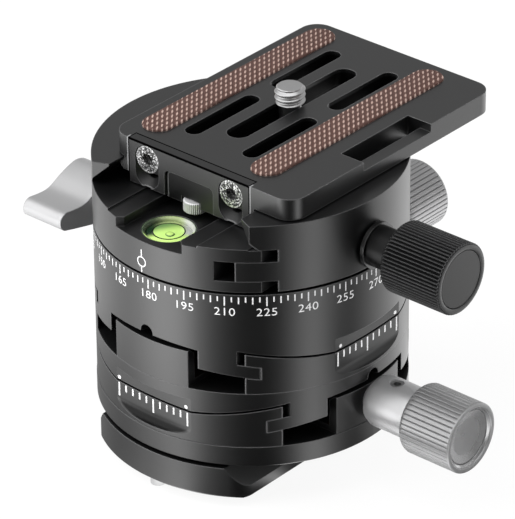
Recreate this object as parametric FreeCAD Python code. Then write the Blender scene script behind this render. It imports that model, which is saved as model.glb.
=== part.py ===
# Geared levelling head with a panning quick-release clamp and its plate.
# Millimetres. The origin is the centre of the foot's underside, +Z is up, and +X is the side of the
# two knobs that face right in the usual view. The plate runs along Y.
import math
import os

import FreeCAD
import Part
from FreeCAD import Vector

os.makedirs("parts", exist_ok=True)

# Whole head
BODY_R = 32.0
FAR = 200.0
RUNNING_GAP = 0.05
SEAT_GAP = 0.02

# Foot: a round plate with a dovetail cut on two sides and a camera-stud socket
FOOT_PROUD = 0.4
FOOT_H = 7.0
FOOT_EDGE = 0.6
FOOT_CORNER = 5.0
FOOT_DOVETAIL_HALF = 19.75
FOOT_DOVETAIL_LAND = 2.4
FOOT_DOVETAIL_NECK = 16.4
FOOT_DOVETAIL_TOP = 7.0
SOCKET_R = 4.76
SOCKET_DEPTH = 6.0
STOP_SCREW_INSET = 2.5
STOP_SCREW_R = 1.1
STOP_HEAD_R = 1.6
STOP_HEAD_DROP = 2.0
STOP_RECESS_HALF = 3.3
STOP_RECESS_DEPTH = 0.5
STOP_RECESS_IN = 4.8
STOP_SCREW_DEPTH = 6.0
FOOT_SCREW_X = 8.5
FOOT_SCREW_Y = 13.8
FOOT_SCREW_R = 1.5
FOOT_SCREW_END = 10.1
FOOT_HEAD_R = 2.7
FOOT_HEAD_SUNK = 0.3
FOOT_HEAD_H = 1.6

# Base disc above the foot
NECK_INSET = 2.8
NECK_H = 0.5
BASE_PROUD = 0.1
BASE_EDGE = 0.4
BASE_TOP = 12.14

# Tilt stages: the same sizes for the lower one and, turned a quarter round, for the upper one
STAGE_H = 12.4
SEAM_R = 108.0
SEAM_LOW = 6.36
SEAM_GAP = 0.5
LIP_THICK = 2.7
LIP_INSET = 12.17
TONGUE_NECK_INSET = 13.45
TONGUE_INSET = 9.95
TONGUE_SIDE_GAP = 0.12
TONGUE_DROP = 5.4
CHANNEL_HALF = 11.6
CHANNEL_DROP = 1.4
RAIL_SCREW_X = 11.0
RAIL_SCREW_INSET = 4.7
RAIL_SCREW_R = 1.25
RAIL_HEAD_R = 2.2
RAIL_HEAD_H = 2.0
RAIL_HEAD_DEPTH = 1.2
RAIL_SCREW_LENGTH = 6.2
SCALE_FLAT_DEPTH = 1.6
SCALE_HALF = 10.0
SCALE_TOP = 9.76
SCALE_DROP = 4.1

# Worm drive
WORM_AXIS_H = 5.1
TOOTH_ANGLE = 1.5
TOOTH_COUNT = 19
WORM_PITCH_R = 1.95
WORM_ROOT_R = 1.5
WORM_CREST_R = 2.4
WORM_TURNS = 4
THREAD_ROOT_WIDTH = 1.45
THREAD_CREST_WIDTH = 0.85
THREAD_SUNK = 0.2
TOOTH_BACKLASH = 0.36
ROOT_CLEARANCE = 0.1
SECTOR_HALF_WIDTH = 4.0
SECTOR_HALF_ANGLE = 14.0
SECTOR_BACK = 2.0
SECTOR_FACE = 0.9
SECTOR_SCREW_X = 17.0
SECTOR_SCREW_Y = 2.9
SECTOR_SCREW_R = 0.6
SECTOR_SCREW_SUNK = 0.15
SECTOR_SCREW_LENGTH = 3.2
BRACKET_HALF = 9.6
BRACKET_FLOOR = 1.3
LUG_H = 8.44
LUG_THICK = 3.4
LUG_RELIEF = 1.2
LUG_RELIEF_GAP = 1.0
BLIND_BORE_WALL = 1.7
SHAFT_END_GAP = 0.3
BRACKET_SCREW_X = 21.0
BRACKET_SCREW_Y = 6.0
BRACKET_SCREW_R = 1.0
BRACKET_HEAD_R = 1.9
BRACKET_SCREW_LENGTH = 4.6
BRACKET_HEAD_LAND = 0.2
BRACKET_HEX_R = 0.6
BRACKET_HEX_DEPTH = 0.7
BUSH_R = 3.0
BUSH_FLANGE_R = 3.3
BUSH_FLANGE = 0.8
BUSH_INSET = 0.4
COLLAR_R = 2.7
COLLAR_LENGTH = 1.4
COLLAR_END_GAP = 0.1

# Silver tilt knobs
KNOB_R = 7.5
KNOB_NECK_LENGTH = 10.8
KNOB_LENGTH = 13.0
KNOB_ROUND = 0.9
KNOB_CUP_R = 6.4
KNOB_CUP_DEPTH = 1.2
KNOB_NECK_R = 5.5
KNOB_NECK_GAP = 1.4
KNOB_LEAD_R = 4.9
KNOB_LEAD = 1.4
KNOB_SHAFT_INSET = 3.2
SET_SCREW_FROM_NECK = 4.8
UPPER_KNOB_SHIFT = 2.4
SET_SCREW_R = 1.5
SET_SCREW_DEPTH = 0.3

# Panning scale ring: the upper stage's moving part, up to the panning seam
PAN_SEAM = 47.5
PAN_GAP = 0.6
PAN_BORE_R = 15.0
PAN_BORE_FLOOR = 37.2
LINER_WALL = 2.4
LINER_H = 9.0
SPINDLE_LOW = 37.8
SPINDLE_GROOVE_DEPTH = 1.3
SPINDLE_GROOVE_HALF = 2.4
SPINDLE_SCREW_CIRCLE = 7.0
SPINDLE_SCREW_R = 1.5
SPINDLE_HEAD_R = 2.7
SPINDLE_HEAD_H = 2.5
SPINDLE_HEAD_SUNK = 0.3
SPINDLE_SCREW_START = 39.8

# Pan lock lever on the scale ring
LOCK_Y = -1.5
LOCK_Z = 39.2
LOCK_SCREW_R = 2.4
LOCK_SCREW_GRIP = 4.0
LOCK_SHOE_LENGTH = 3.0
LOCK_SHOE_CONE = 1.4
LOCK_SHOE_TIP_R = 0.3
LOCK_SHOE_GAP = 0.3
LEVER_HUB_R = 5.15
LEVER_GAP = 4.5
LEVER_THICK = 10.5
LEVER_NECK_R = 4.0
LEVER_NECK_GAP = 0.5
WING_ROOT = 1.5
WING_TOP = [(-2.9, 4.5), (-5.8, 3.3), (-8.5, 2.1), (-11.5, 2.0), (-14.1, 2.3)]
WING_TIP = (-16.1, 0.9)
WING_LOW = [(-14.8, -1.7), (-10.5, -2.8), (-6.6, -3.7)]

# Clamp body, heights above the panning seam
CLAMP_H = 15.1
CLAMP_FLOOR = 9.9
CLAMP_GROOVE_HALF = 11.7
CLAMP_GROOVE_DEPTH = 0.4
LIP_EDGE = 17.4
LIP_LAND = 0.5
LIP_FLANK = 1.8
LIP_HOLLOW = 21.95
LIP_HOLLOW_SIDE = 1.7
LIP_HOLLOW_RISE = 1.2
LIP_GUIDE_Y = 23.0
LIP_GUIDE_X = 20.66
LIP_GUIDE_REACH = 3.0
JAW_SEAT_H = 9.7
JAW_SEAT_X = 20.4
JAW_BODY_END = 22.4
JAW_START = 24.6
JAW_TONGUE_LOW = 2.75
JAW_TONGUE_HIGH = 7.0
JAW_TONGUE_X = 18.4
JAW_TONGUE_END_GAP = 3.6
GUIDE_PIN_Y = 15.0
GUIDE_PIN_R = 1.5
GUIDE_PIN_START = 10.0
GUIDE_PIN_END = 26.0
GUIDE_PIN_END_GAP = 0.5
CLAMP_SCREW_H = 4.9
END_RECESS_HALF = 7.4
END_RECESS_H = 7.4
END_RECESS_Y = 13.5
END_RECESS_CORNER_WIDE = 1.4
END_RECESS_CORNER_DEEP = 1.5
END_RECESS_CORNER_LEFT = 0.3
LEVEL_INSET = 7.2
LEVEL_R = 5.5
LEVEL_RING = 1.1
LEVEL_DEPTH = 4.2
LEVEL_SUNK = 0.1
LEVEL_FLOOR = 1.0
VIAL_SUNK = 0.15
VIAL_EDGE = 0.3

# Black clamp knob
CLAMP_SCREW_R = 2.5
CLAMP_SCREW_START = 4.0
CLAMP_SCREW_INSET = 3.0
CLAMP_KNOB_R = 7.5
CLAMP_KNOB_GAP = 7.4
CLAMP_KNOB_LENGTH = 14.6
CLAMP_KNOB_ROUND = 0.5
CLAMP_CAP_R = 5.97
CLAMP_CAP_DEPTH = 1.4
CLAMP_CAP_SUNK = 0.1
CLAMP_NECK_R = 4.3
CLAMP_NECK_GAP = 0.4
CLAMP_RING_R = 4.9
CLAMP_RING_BORE = 3.8
CLAMP_RING_LENGTH = 0.9

# Quick-release plate, heights above the panning seam
PLATE_TOP = 20.0
PLATE_FLANGE_LOW = 15.4
PLATE_LEFT = -20.6
PLATE_RIGHT = 26.9
PLATE_NEAR = -18.8
PLATE_FAR = 44.4
PLATE_CORNER = 4.0
PLATE_TIP = 18.25
PLATE_TIP_CUT = 0.9
PLATE_TIP_LAND = 0.4
PLATE_LOW = 12.3
SLOT_LEFT = -7.75
SLOT_RIGHT = 7.4
SLOT_HALF = 1.9
SLOT_NEAR = -10.0
SLOT_NEAR_END = 10.8
SLOT_FAR = 16.2
SLOT_FAR_END = 36.4
SCREW_SLOT_X = -0.3
SCREW_SLOT_HALF = 2.5
SCREW_SLOT_NEAR = -5.6
SCREW_SLOT_FAR = 32.0
SCREW_POCKET_HALF = 5.1
SCREW_POCKET_END = 2.9
SCREW_SLOT_SHELF = 16.4
STRAP_LEFT = 21.0
STRAP_RIGHT = 24.0
STRAP_NEAR = 3.0
STRAP_FAR = 24.0
STRAP_BAR_DROP = 1.8
STRIP_WIDTH = 6.8
STRIP_LEFT = -14.9
STRIP_RIGHT = 13.85
STRIP_NEAR = -14.2
STRIP_FAR = 42.3
STRIP_SEAT = 0.6
STRIP_THICK = 1.1

# Backstop and its screws
BACKSTOP_HALF = 15.8
BACKSTOP_THICK = 2.3
BACKSTOP_LOW = 10.2
BACKSTOP_WINDOW_HALF = 6.4
BACKSTOP_WINDOW_TOP = 15.9
BACKSTOP_CORNER = 1.2
BACKSTOP_SCREW_X = 11.0
BACKSTOP_SCREW_H = 16.5
BACKSTOP_LIFT = 3.3
BACKSTOP_HEAD_R = 3.1
BACKSTOP_HEAD_SUNK = 0.2
BACKSTOP_HEAD_CONE = 1.6
BACKSTOP_HEAD_REACH = 0.5
BACKSTOP_SHANK_R = 1.5
BACKSTOP_SHANK = 7.0
HEX_R = 1.25
HEX_DEPTH = 1.2
SAFETY_Y = 16.9
SAFETY_FAR_Y = 41.0
SAFETY_HEAD_R = 2.4
SAFETY_HEAD_LOW = 8.3
SAFETY_HEAD_HIGH = 10.8
SAFETY_SHANK_R = 0.9
SAFETY_SHANK = 3.5
WINDOW_TONGUE_BACK = 0.7
WINDOW_TONGUE_GAP = 0.1
WINDOW_TONGUE_LOW = 9.7
SAFETY_NOTCH_GAP = 0.3

# Camera screw
CAMERA_Y = 12.5
CAMERA_R = 3.175
CAMERA_TOP = 24.2
CAMERA_THREAD_LOW = 20.3
CAMERA_NECK_R = 2.3
CAMERA_HEAD_R = 4.7
CAMERA_HEAD_LOW = 12.6
CAMERA_HEAD_HIGH = 15.2
CAMERA_POINT = 0.7
CAMERA_SLOT = 1.2
CAMERA_SLOT_DEPTH = 1.2

# Values that follow from the ones above
FOOT_R = BODY_R + FOOT_PROUD
STOP_SCREW_Y = BODY_R - STOP_SCREW_INSET
STOP_RECESS_R = (STOP_RECESS_HALF ** 2 + STOP_RECESS_DEPTH ** 2) / (2 * STOP_RECESS_DEPTH)
NECK_R = BODY_R - NECK_INSET
BASE_R = BODY_R + BASE_PROUD
TILT_CENTRE = SEAM_R + SEAM_LOW
LOWER_STAGE_Z = BASE_TOP
UPPER_STAGE_Z = BASE_TOP + STAGE_H
SEAT_R = SEAM_R + SEAM_GAP / 2
CRADLE_R = SEAM_R - SEAM_GAP / 2
LIP_LOW_R = SEAM_R + LIP_THICK
LIP_END = BODY_R - LIP_INSET
TONGUE_NECK = BODY_R - TONGUE_NECK_INSET
TONGUE_END = BODY_R - TONGUE_INSET
TONGUE_OUTER_R = SEAM_R + TONGUE_DROP
CHANNEL_R = SEAM_R + CHANNEL_DROP
RAIL_SCREW_Y = BODY_R - RAIL_SCREW_INSET
SCALE_FLAT = BODY_R - SCALE_FLAT_DEPTH
SCALE_OUTER_R = SEAM_R + SCALE_DROP
SECTOR_INNER_R = SEAM_R - SECTOR_BACK
SECTOR_OUTER_R = SEAM_R + SECTOR_FACE
LUG_INNER_X = BODY_R - LUG_THICK
BLIND_BORE_END = BODY_R - BLIND_BORE_WALL
BUSH_END = BODY_R - BUSH_INSET
KNOB_NECK_START = BODY_R + KNOB_NECK_GAP
KNOB_START = KNOB_NECK_START + KNOB_NECK_LENGTH
KNOB_END = KNOB_START + KNOB_LENGTH
KNOB_SHAFT_END = KNOB_END - KNOB_SHAFT_INSET
SET_SCREW_X = KNOB_NECK_START + SET_SCREW_FROM_NECK
LEVER_NECK_START = BODY_R + LEVER_NECK_GAP
LEVER_INNER = BODY_R + LEVER_GAP
LEVER_OUTER = LEVER_INNER + LEVER_THICK
WORM_RADIUS = TILT_CENTRE - WORM_AXIS_H
TOOTH_PITCH = math.radians(TOOTH_ANGLE) * (WORM_RADIUS - WORM_PITCH_R)
RING_TOP = PAN_SEAM - PAN_GAP / 2
CLAMP_LOW = PAN_SEAM + PAN_GAP / 2
CLAMP_TOP = PAN_SEAM + CLAMP_H
FLOOR_Z = PAN_SEAM + CLAMP_FLOOR
CLAMP_SCREW_Z = PAN_SEAM + CLAMP_SCREW_H
SPINDLE_HEAD_TOP = FLOOR_Z - CLAMP_GROOVE_DEPTH - SPINDLE_HEAD_SUNK
END_RECESS_Z = PAN_SEAM + END_RECESS_H
LEVEL_Y = BODY_R - LEVEL_INSET
LEVEL_TOP = END_RECESS_Z - LEVEL_SUNK
LEVEL_LOW = END_RECESS_Z - LEVEL_DEPTH
LINER_R = PAN_BORE_R - LINER_WALL
SPINDLE_R = LINER_R - RUNNING_GAP
SHOE_TIP_X = SPINDLE_R - SPINDLE_GROOVE_DEPTH + LOCK_SHOE_GAP
CLAMP_NECK_START = BODY_R + CLAMP_NECK_GAP
CLAMP_KNOB_START = BODY_R + CLAMP_KNOB_GAP
CLAMP_KNOB_END = CLAMP_KNOB_START + CLAMP_KNOB_LENGTH
CLAMP_SCREW_END = CLAMP_KNOB_END - CLAMP_SCREW_INSET
CAP_SEAT_X = CLAMP_KNOB_END - CLAMP_CAP_DEPTH
FLANGE_LOW = PAN_SEAM + PLATE_FLANGE_LOW
PLATE_TOP_Z = PAN_SEAM + PLATE_TOP
PLATE_LOW_Z = PAN_SEAM + PLATE_LOW


def block(x0, x1, y0, y1, z0, z1):
    return Part.makeBox(x1 - x0, y1 - y0, z1 - z0, Vector(x0, y0, z0))


def upright(radius, z0, z1, x=0.0, y=0.0):
    return Part.makeCylinder(radius, z1 - z0, Vector(x, y, z0), Vector(0, 0, 1))


def along_x(radius, x0, x1, y=0.0, z=0.0):
    return Part.makeCylinder(radius, x1 - x0, Vector(x0, y, z), Vector(1, 0, 0))


def along_y(radius, y0, y1, x=0.0, z=0.0):
    return Part.makeCylinder(radius, y1 - y0, Vector(x, y0, z), Vector(0, 1, 0))


def prism(points, direction):
    """A closed outline of straight edges, pushed along one direction."""
    outline = Part.makePolygon(points + [points[0]])
    return Part.Face(outline).extrude(direction)


def turned(points, base, axis):
    """A half profile turned once round an axis."""
    outline = Part.makePolygon(points + [points[0]])
    return Part.Face(outline).revolve(base, axis, 360)


def both_x(shape):
    return shape.fuse(shape.mirror(Vector(0, 0, 0), Vector(1, 0, 0)))


def both_y(shape):
    return shape.fuse(shape.mirror(Vector(0, 0, 0), Vector(0, 1, 0)))


def group(shapes):
    return Part.makeCompound(shapes)


def slot(x, half, y0, y1, z0, z1):
    """An upright slot along Y with round ends."""
    body = block(x - half, x + half, y0 + half, y1 - half, z0, z1)
    body = body.fuse(upright(half, z0, z1, x, y0 + half))
    return body.fuse(upright(half, z0, z1, x, y1 - half))


def tilt_barrel(radius):
    """A long cylinder about a stage's tilt axis, which runs along Y high above the stage."""
    return along_y(radius, -FAR, FAR, 0, TILT_CENTRE)


def to_lower(shape):
    moved = shape.copy()
    moved.translate(Vector(0, 0, LOWER_STAGE_Z))
    return moved


def to_upper(shape):
    moved = shape.copy()
    moved.rotate(Vector(0, 0, 0), Vector(0, 0, 1), 90)
    moved.translate(Vector(0, 0, UPPER_STAGE_Z))
    return moved


def save(shape, name):
    if shape.ShapeType != "Compound" or len(shape.Solids) == 1:
        shape = shape.removeSplitter()
    if len(shape.Solids) == 1:
        shape = shape.Solids[0]
    shape.exportStep(f"parts/{name}.step")


# Foot and base disc


def foot_plate():
    plate = upright(FOOT_R, 0, FOOT_H)
    plate = plate.makeChamfer(FOOT_EDGE, [e for e in plate.Edges if e.BoundBox.ZMax < 0.01])
    flank = [
        Vector(FOOT_DOVETAIL_HALF, -FAR, -1),
        Vector(FOOT_DOVETAIL_HALF, -FAR, FOOT_DOVETAIL_LAND),
        Vector(FOOT_DOVETAIL_NECK, -FAR, FOOT_DOVETAIL_TOP),
        Vector(FOOT_DOVETAIL_NECK, -FAR, FOOT_H + 1),
        Vector(FAR, -FAR, FOOT_H + 1),
        Vector(FAR, -FAR, -1),
    ]
    plate = plate.cut(both_x(prism(flank, Vector(0, 2 * FAR, 0))))
    plate = plate.common(foot_outline())
    plate = plate.cut(upright(SOCKET_R, -1, SOCKET_DEPTH))
    for x, y in foot_screw_places():
        plate = plate.cut(foot_screw_shape(x, y))
    plate = plate.cut(upright(STOP_SCREW_R, -1, STOP_SCREW_DEPTH, 0, -STOP_SCREW_Y))
    plate = plate.cut(upright(STOP_HEAD_R, -1, STOP_RECESS_DEPTH, 0, -STOP_SCREW_Y))
    hollow_axis = STOP_RECESS_DEPTH - STOP_RECESS_R
    return plate.cut(along_y(STOP_RECESS_R, -FAR, STOP_RECESS_IN - BODY_R, 0, hollow_axis))


def foot_outline():
    """The foot seen from above: a disc with two straight sides and round corners."""
    outline = upright(FOOT_R, -1, FOOT_H + 1)
    outline = outline.common(block(-FOOT_DOVETAIL_HALF, FOOT_DOVETAIL_HALF, -FAR, FAR, -1, FOOT_H + 1))
    corners = [e for e in outline.Edges if e.BoundBox.XLength + e.BoundBox.YLength < 0.01]
    return outline.makeFillet(FOOT_CORNER, corners)


def foot_screw_places():
    return [(x, y) for x in (-FOOT_SCREW_X, FOOT_SCREW_X) for y in (-FOOT_SCREW_Y, FOOT_SCREW_Y)]


def foot_screw_shape(x, y):
    """A countersunk screw from below, into the base disc."""
    head = Part.makeCone(FOOT_HEAD_R, FOOT_SCREW_R, FOOT_HEAD_H, Vector(x, y, FOOT_HEAD_SUNK))
    recess = upright(FOOT_HEAD_R, 0, FOOT_HEAD_SUNK, x, y)
    return head.fuse(recess).fuse(upright(FOOT_SCREW_R, FOOT_HEAD_SUNK, FOOT_SCREW_END, x, y))


def foot_screws():
    screws = []
    for x, y in foot_screw_places():
        screw = foot_screw_shape(x, y).cut(upright(FOOT_HEAD_R + 1, -1, FOOT_HEAD_SUNK, x, y))
        screws.append(screw.cut(upright(HEX_R, 0, FOOT_HEAD_SUNK + HEX_DEPTH, x, y)))
    return group(screws)


def foot_stop_screw():
    """A small screw in a shallow hollow under the near edge; it stops the foot in a clamp below it."""
    head = upright(STOP_HEAD_R, -STOP_HEAD_DROP, STOP_RECESS_DEPTH, 0, -STOP_SCREW_Y)
    return head.fuse(upright(STOP_SCREW_R, 0, STOP_SCREW_DEPTH, 0, -STOP_SCREW_Y))


def base_disc():
    disc = upright(BASE_R, FOOT_H + NECK_H, BASE_TOP)
    disc = disc.makeChamfer(BASE_EDGE, [e for e in disc.Edges if e.BoundBox.ZMax < FOOT_H + NECK_H + 0.01])
    disc = disc.fuse(upright(NECK_R, FOOT_H, FOOT_H + NECK_H))
    for x, y in foot_screw_places():
        disc = disc.cut(foot_screw_shape(x, y))
    for x, y in rail_screw_places():
        disc = disc.cut(to_lower(rail_screw_shape(x, y)))
    for x, y in bracket_screw_places():
        disc = disc.cut(to_lower(bracket_screw_shape(x, y)))
    return disc


# One tilt stage in its own frame: base at z 0, tilt axis along Y, worm along X


def rail_screw_places():
    return [(x, y) for y in (-RAIL_SCREW_Y, RAIL_SCREW_Y) for x in (-RAIL_SCREW_X, RAIL_SCREW_X)]


def rail_screw_shape(x, y):
    """Cap screw that holds a rail from below; its head is sunk in the disc under the rail."""
    head = upright(RAIL_HEAD_R, -RAIL_HEAD_DEPTH - RAIL_HEAD_H, -RAIL_HEAD_DEPTH, x, y)
    return head.fuse(upright(RAIL_SCREW_R, -RAIL_HEAD_DEPTH, RAIL_SCREW_LENGTH - RAIL_HEAD_DEPTH, x, y))


def rail(side):
    """Half-moon rail with a curved T slot for the cradle's tongue; side is -1 or +1 in Y."""
    body = upright(BODY_R, 0, STAGE_H)
    body = body.common(block(-FAR, FAR, LIP_END, FAR, -1, FAR))
    body = body.cut(tilt_barrel(SEAT_R))
    pocket = block(-FAR, FAR, 0, TONGUE_END + TONGUE_SIDE_GAP, -FAR, FAR)
    pocket = pocket.common(tilt_barrel(TONGUE_OUTER_R + RUNNING_GAP)).cut(tilt_barrel(LIP_LOW_R))
    body = body.cut(pocket)
    if side < 0:
        body = body.mirror(Vector(0, 0, 0), Vector(0, 1, 0))
        body = body.cut(scale_recess())
    for x, y in rail_screw_places():
        if y * side > 0:
            body = body.cut(rail_screw_shape(x, y))
    return body


def scale_recess():
    """The flat for the tilt scale: across the seam, with a hollow below it that follows the seam's curve."""
    flat = block(-SCALE_HALF, SCALE_HALF, -FAR / 2, -SCALE_FLAT, -FAR, SCALE_TOP)
    hollow = Part.makeTorus(SCALE_OUTER_R, SCALE_FLAT_DEPTH, Vector(0, -BODY_R, TILT_CENTRE), Vector(0, 1, 0))
    hollow = hollow.common(block(-SCALE_HALF, SCALE_HALF, -FAR / 2, 0, -FAR, SCALE_TOP))
    return flat.common(tilt_barrel(SCALE_OUTER_R)).fuse(hollow)


def cradle(height):
    """Rocking part: T-shaped tongues at both sides, an open channel for the worm between them."""
    disc = upright(BODY_R, 0, STAGE_H)
    body = disc.common(tilt_barrel(CRADLE_R))
    wide = disc.common(block(-FAR, FAR, -TONGUE_END, TONGUE_END, -1, FAR))
    tongue = wide.common(tilt_barrel(TONGUE_OUTER_R)).cut(tilt_barrel(LIP_LOW_R + RUNNING_GAP))
    stem = disc.common(block(-FAR, FAR, -TONGUE_NECK, TONGUE_NECK, -1, FAR))
    stem = stem.common(tilt_barrel(TONGUE_OUTER_R))
    body = body.fuse(tongue).fuse(stem)
    channel = block(-FAR, FAR, -CHANNEL_HALF, CHANNEL_HALF, -FAR, FAR)
    body = body.cut(channel.cut(tilt_barrel(CHANNEL_R)))
    if height > STAGE_H:
        body = body.fuse(upright(BODY_R, STAGE_H, height))
    body = body.cut(worm_throat())
    body = body.cut(sector_band(CHANNEL_R + 1))
    for screw in sector_screw_shapes(SECTOR_SCREW_SUNK):
        body = body.cut(screw)
    return body.cut(scale_recess())


def worm_throat():
    """Round groove along the arc that the worm's shaft lies in."""
    return Part.makeTorus(WORM_RADIUS, WORM_ROOT_R + ROOT_CLEARANCE,
                          Vector(0, 0, TILT_CENTRE), Vector(0, 1, 0))


def sector_band(outer):
    """A strip of the given outer radius round the tilt axis, as wide and as long as the sector."""
    band = along_y(outer, -SECTOR_HALF_WIDTH, SECTOR_HALF_WIDTH, 0, TILT_CENTRE)
    band = band.cut(along_y(SECTOR_INNER_R, -SECTOR_HALF_WIDTH, SECTOR_HALF_WIDTH, 0, TILT_CENTRE))
    reach = FAR * math.tan(math.radians(SECTOR_HALF_ANGLE))
    wedge = [Vector(0, -FAR, TILT_CENTRE), Vector(-reach, -FAR, TILT_CENTRE - FAR),
             Vector(reach, -FAR, TILT_CENTRE - FAR)]
    return band.common(prism(wedge, Vector(0, 2 * FAR, 0)))


def tooth_gap():
    """The slanted gap between two teeth of the sector, at the lowest point of the arc."""
    root = WORM_RADIUS - WORM_CREST_R - ROOT_CLEARANCE
    spread = (THREAD_ROOT_WIDTH - THREAD_CREST_WIDTH) / (WORM_CREST_R - WORM_ROOT_R)
    narrow = THREAD_CREST_WIDTH / 2 + TOOTH_BACKLASH / 2
    depth = SECTOR_OUTER_R + 1 - root
    wide = narrow + spread / 2 * depth
    lead = TOOTH_PITCH / (2 * math.pi * WORM_PITCH_R)
    y = SECTOR_HALF_WIDTH + 1
    outline = [
        Vector(-narrow + lead * y, -y, TILT_CENTRE - root),
        Vector(narrow + lead * y, -y, TILT_CENTRE - root),
        Vector(wide + lead * y, -y, TILT_CENTRE - root - depth),
        Vector(-wide + lead * y, -y, TILT_CENTRE - root - depth),
    ]
    return prism(outline, Vector(-2 * lead * y, 2 * y, 0))


def sector_screw_shapes(start):
    """Screws through the sector into the cradle; start is how far above the sector's face they begin."""
    screws = []
    for x in (-SECTOR_SCREW_X, SECTOR_SCREW_X):
        for y in (-SECTOR_SCREW_Y, SECTOR_SCREW_Y):
            drop = math.sqrt(SECTOR_OUTER_R ** 2 - x ** 2)
            face = TILT_CENTRE - drop
            screws.append(upright(SECTOR_SCREW_R, face + start, face + SECTOR_SCREW_LENGTH, x, y))
    return screws


def sector():
    """Toothed strip let into the cradle's channel; it meshes with the worm below it."""
    body = sector_band(SECTOR_OUTER_R).cut(worm_throat())
    middle = TOOTH_COUNT // 2
    for index in range(TOOTH_COUNT):
        gap = tooth_gap()
        gap.rotate(Vector(0, 0, TILT_CENTRE), Vector(0, 1, 0), (index - middle) * TOOTH_ANGLE)
        body = body.cut(gap)
    for screw in sector_screw_shapes(-1):
        body = body.cut(screw)
    return body


def bracket_screw_places():
    return [(x, y) for x in (-BRACKET_SCREW_X, BRACKET_SCREW_X) for y in (-BRACKET_SCREW_Y, BRACKET_SCREW_Y)]


def bracket_screw_shape(x, y):
    cone_top = BRACKET_FLOOR - BRACKET_HEAD_LAND
    head = Part.makeCone(BRACKET_SCREW_R, BRACKET_HEAD_R, cone_top, Vector(x, y, 0))
    head = head.fuse(upright(BRACKET_HEAD_R, cone_top, BRACKET_FLOOR, x, y))
    return head.fuse(upright(BRACKET_SCREW_R, BRACKET_FLOOR - BRACKET_SCREW_LENGTH, BRACKET_FLOOR, x, y))


def worm_bracket():
    """Strip on the stage's floor with a bearing lug at each end.

    The lugs' inner top edges are bevelled beside the bush, so that the lock lever swings past them."""
    body = upright(BODY_R, 0, LUG_H).common(block(-FAR, FAR, -BRACKET_HALF, BRACKET_HALF, -1, FAR))
    body = body.cut(block(-LUG_INNER_X, LUG_INNER_X, -FAR, FAR, BRACKET_FLOOR, FAR))
    body = body.cut(along_x(BUSH_R, -BLIND_BORE_END, BODY_R + 1, 0, WORM_AXIS_H))
    start = BUSH_FLANGE_R + LUG_RELIEF_GAP
    bevel = [
        Vector(LUG_INNER_X - 1, start, LUG_H - LUG_RELIEF - 1),
        Vector(LUG_INNER_X + LUG_RELIEF + 1, start, LUG_H + 1),
        Vector(LUG_INNER_X - 1, start, LUG_H + 1),
    ]
    body = body.cut(both_x(both_y(prism(bevel, Vector(0, FAR, 0)))))
    body = body.fuse(block(-LUG_INNER_X, LUG_INNER_X, -BRACKET_HALF, BRACKET_HALF, 0, BRACKET_FLOOR))
    for x, y in bracket_screw_places():
        body = body.cut(bracket_screw_shape(x, y))
    return body


def worm_bush(end):
    """Flanged bush in a lug, from the lug's inner face out to the given distance."""
    ring = along_x(BUSH_R, LUG_INNER_X, end, 0, WORM_AXIS_H)
    ring = ring.fuse(along_x(BUSH_FLANGE_R, LUG_INNER_X - BUSH_FLANGE, LUG_INNER_X, 0, WORM_AXIS_H))
    return ring.cut(along_x(WORM_ROOT_R + RUNNING_GAP, 0, BODY_R + 1, 0, WORM_AXIS_H))


def worm_bushes():
    blind = worm_bush(BLIND_BORE_END).mirror(Vector(0, 0, 0), Vector(1, 0, 0))
    return group([worm_bush(BUSH_END), blind])


def worm_shaft(knob_shift):
    """Shaft with a single-start right-hand worm in the middle and a collar at the knob's end."""
    length = WORM_TURNS * TOOTH_PITCH
    helix = Part.makeHelix(TOOTH_PITCH, length, WORM_PITCH_R)
    sunk = WORM_ROOT_R - THREAD_SUNK
    slope = (THREAD_ROOT_WIDTH - THREAD_CREST_WIDTH) / 2 / (WORM_CREST_R - WORM_ROOT_R)
    root_half = THREAD_ROOT_WIDTH / 2 + slope * THREAD_SUNK
    crest_half = THREAD_CREST_WIDTH / 2
    outline = Part.makePolygon([
        Vector(sunk, 0, -root_half),
        Vector(WORM_CREST_R, 0, -crest_half),
        Vector(WORM_CREST_R, 0, crest_half),
        Vector(sunk, 0, root_half),
        Vector(sunk, 0, -root_half),
    ])
    thread = Part.Wire(helix.Edges).makePipeShell([outline], True, True)
    thread.translate(Vector(0, 0, -length / 2))
    thread.rotate(Vector(0, 0, 0), Vector(1, 0, 1), 180)
    thread.translate(Vector(0, 0, WORM_AXIS_H))
    shaft = along_x(WORM_ROOT_R, -BLIND_BORE_END + SHAFT_END_GAP, KNOB_SHAFT_END - knob_shift, 0, WORM_AXIS_H)
    shaft = shaft.fuse(thread)
    collar_end = LUG_INNER_X - BUSH_FLANGE - COLLAR_END_GAP
    for end in (collar_end, -collar_end + COLLAR_LENGTH):
        shaft = shaft.fuse(along_x(COLLAR_R, end - COLLAR_LENGTH, end, 0, WORM_AXIS_H))
    return shaft


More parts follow.
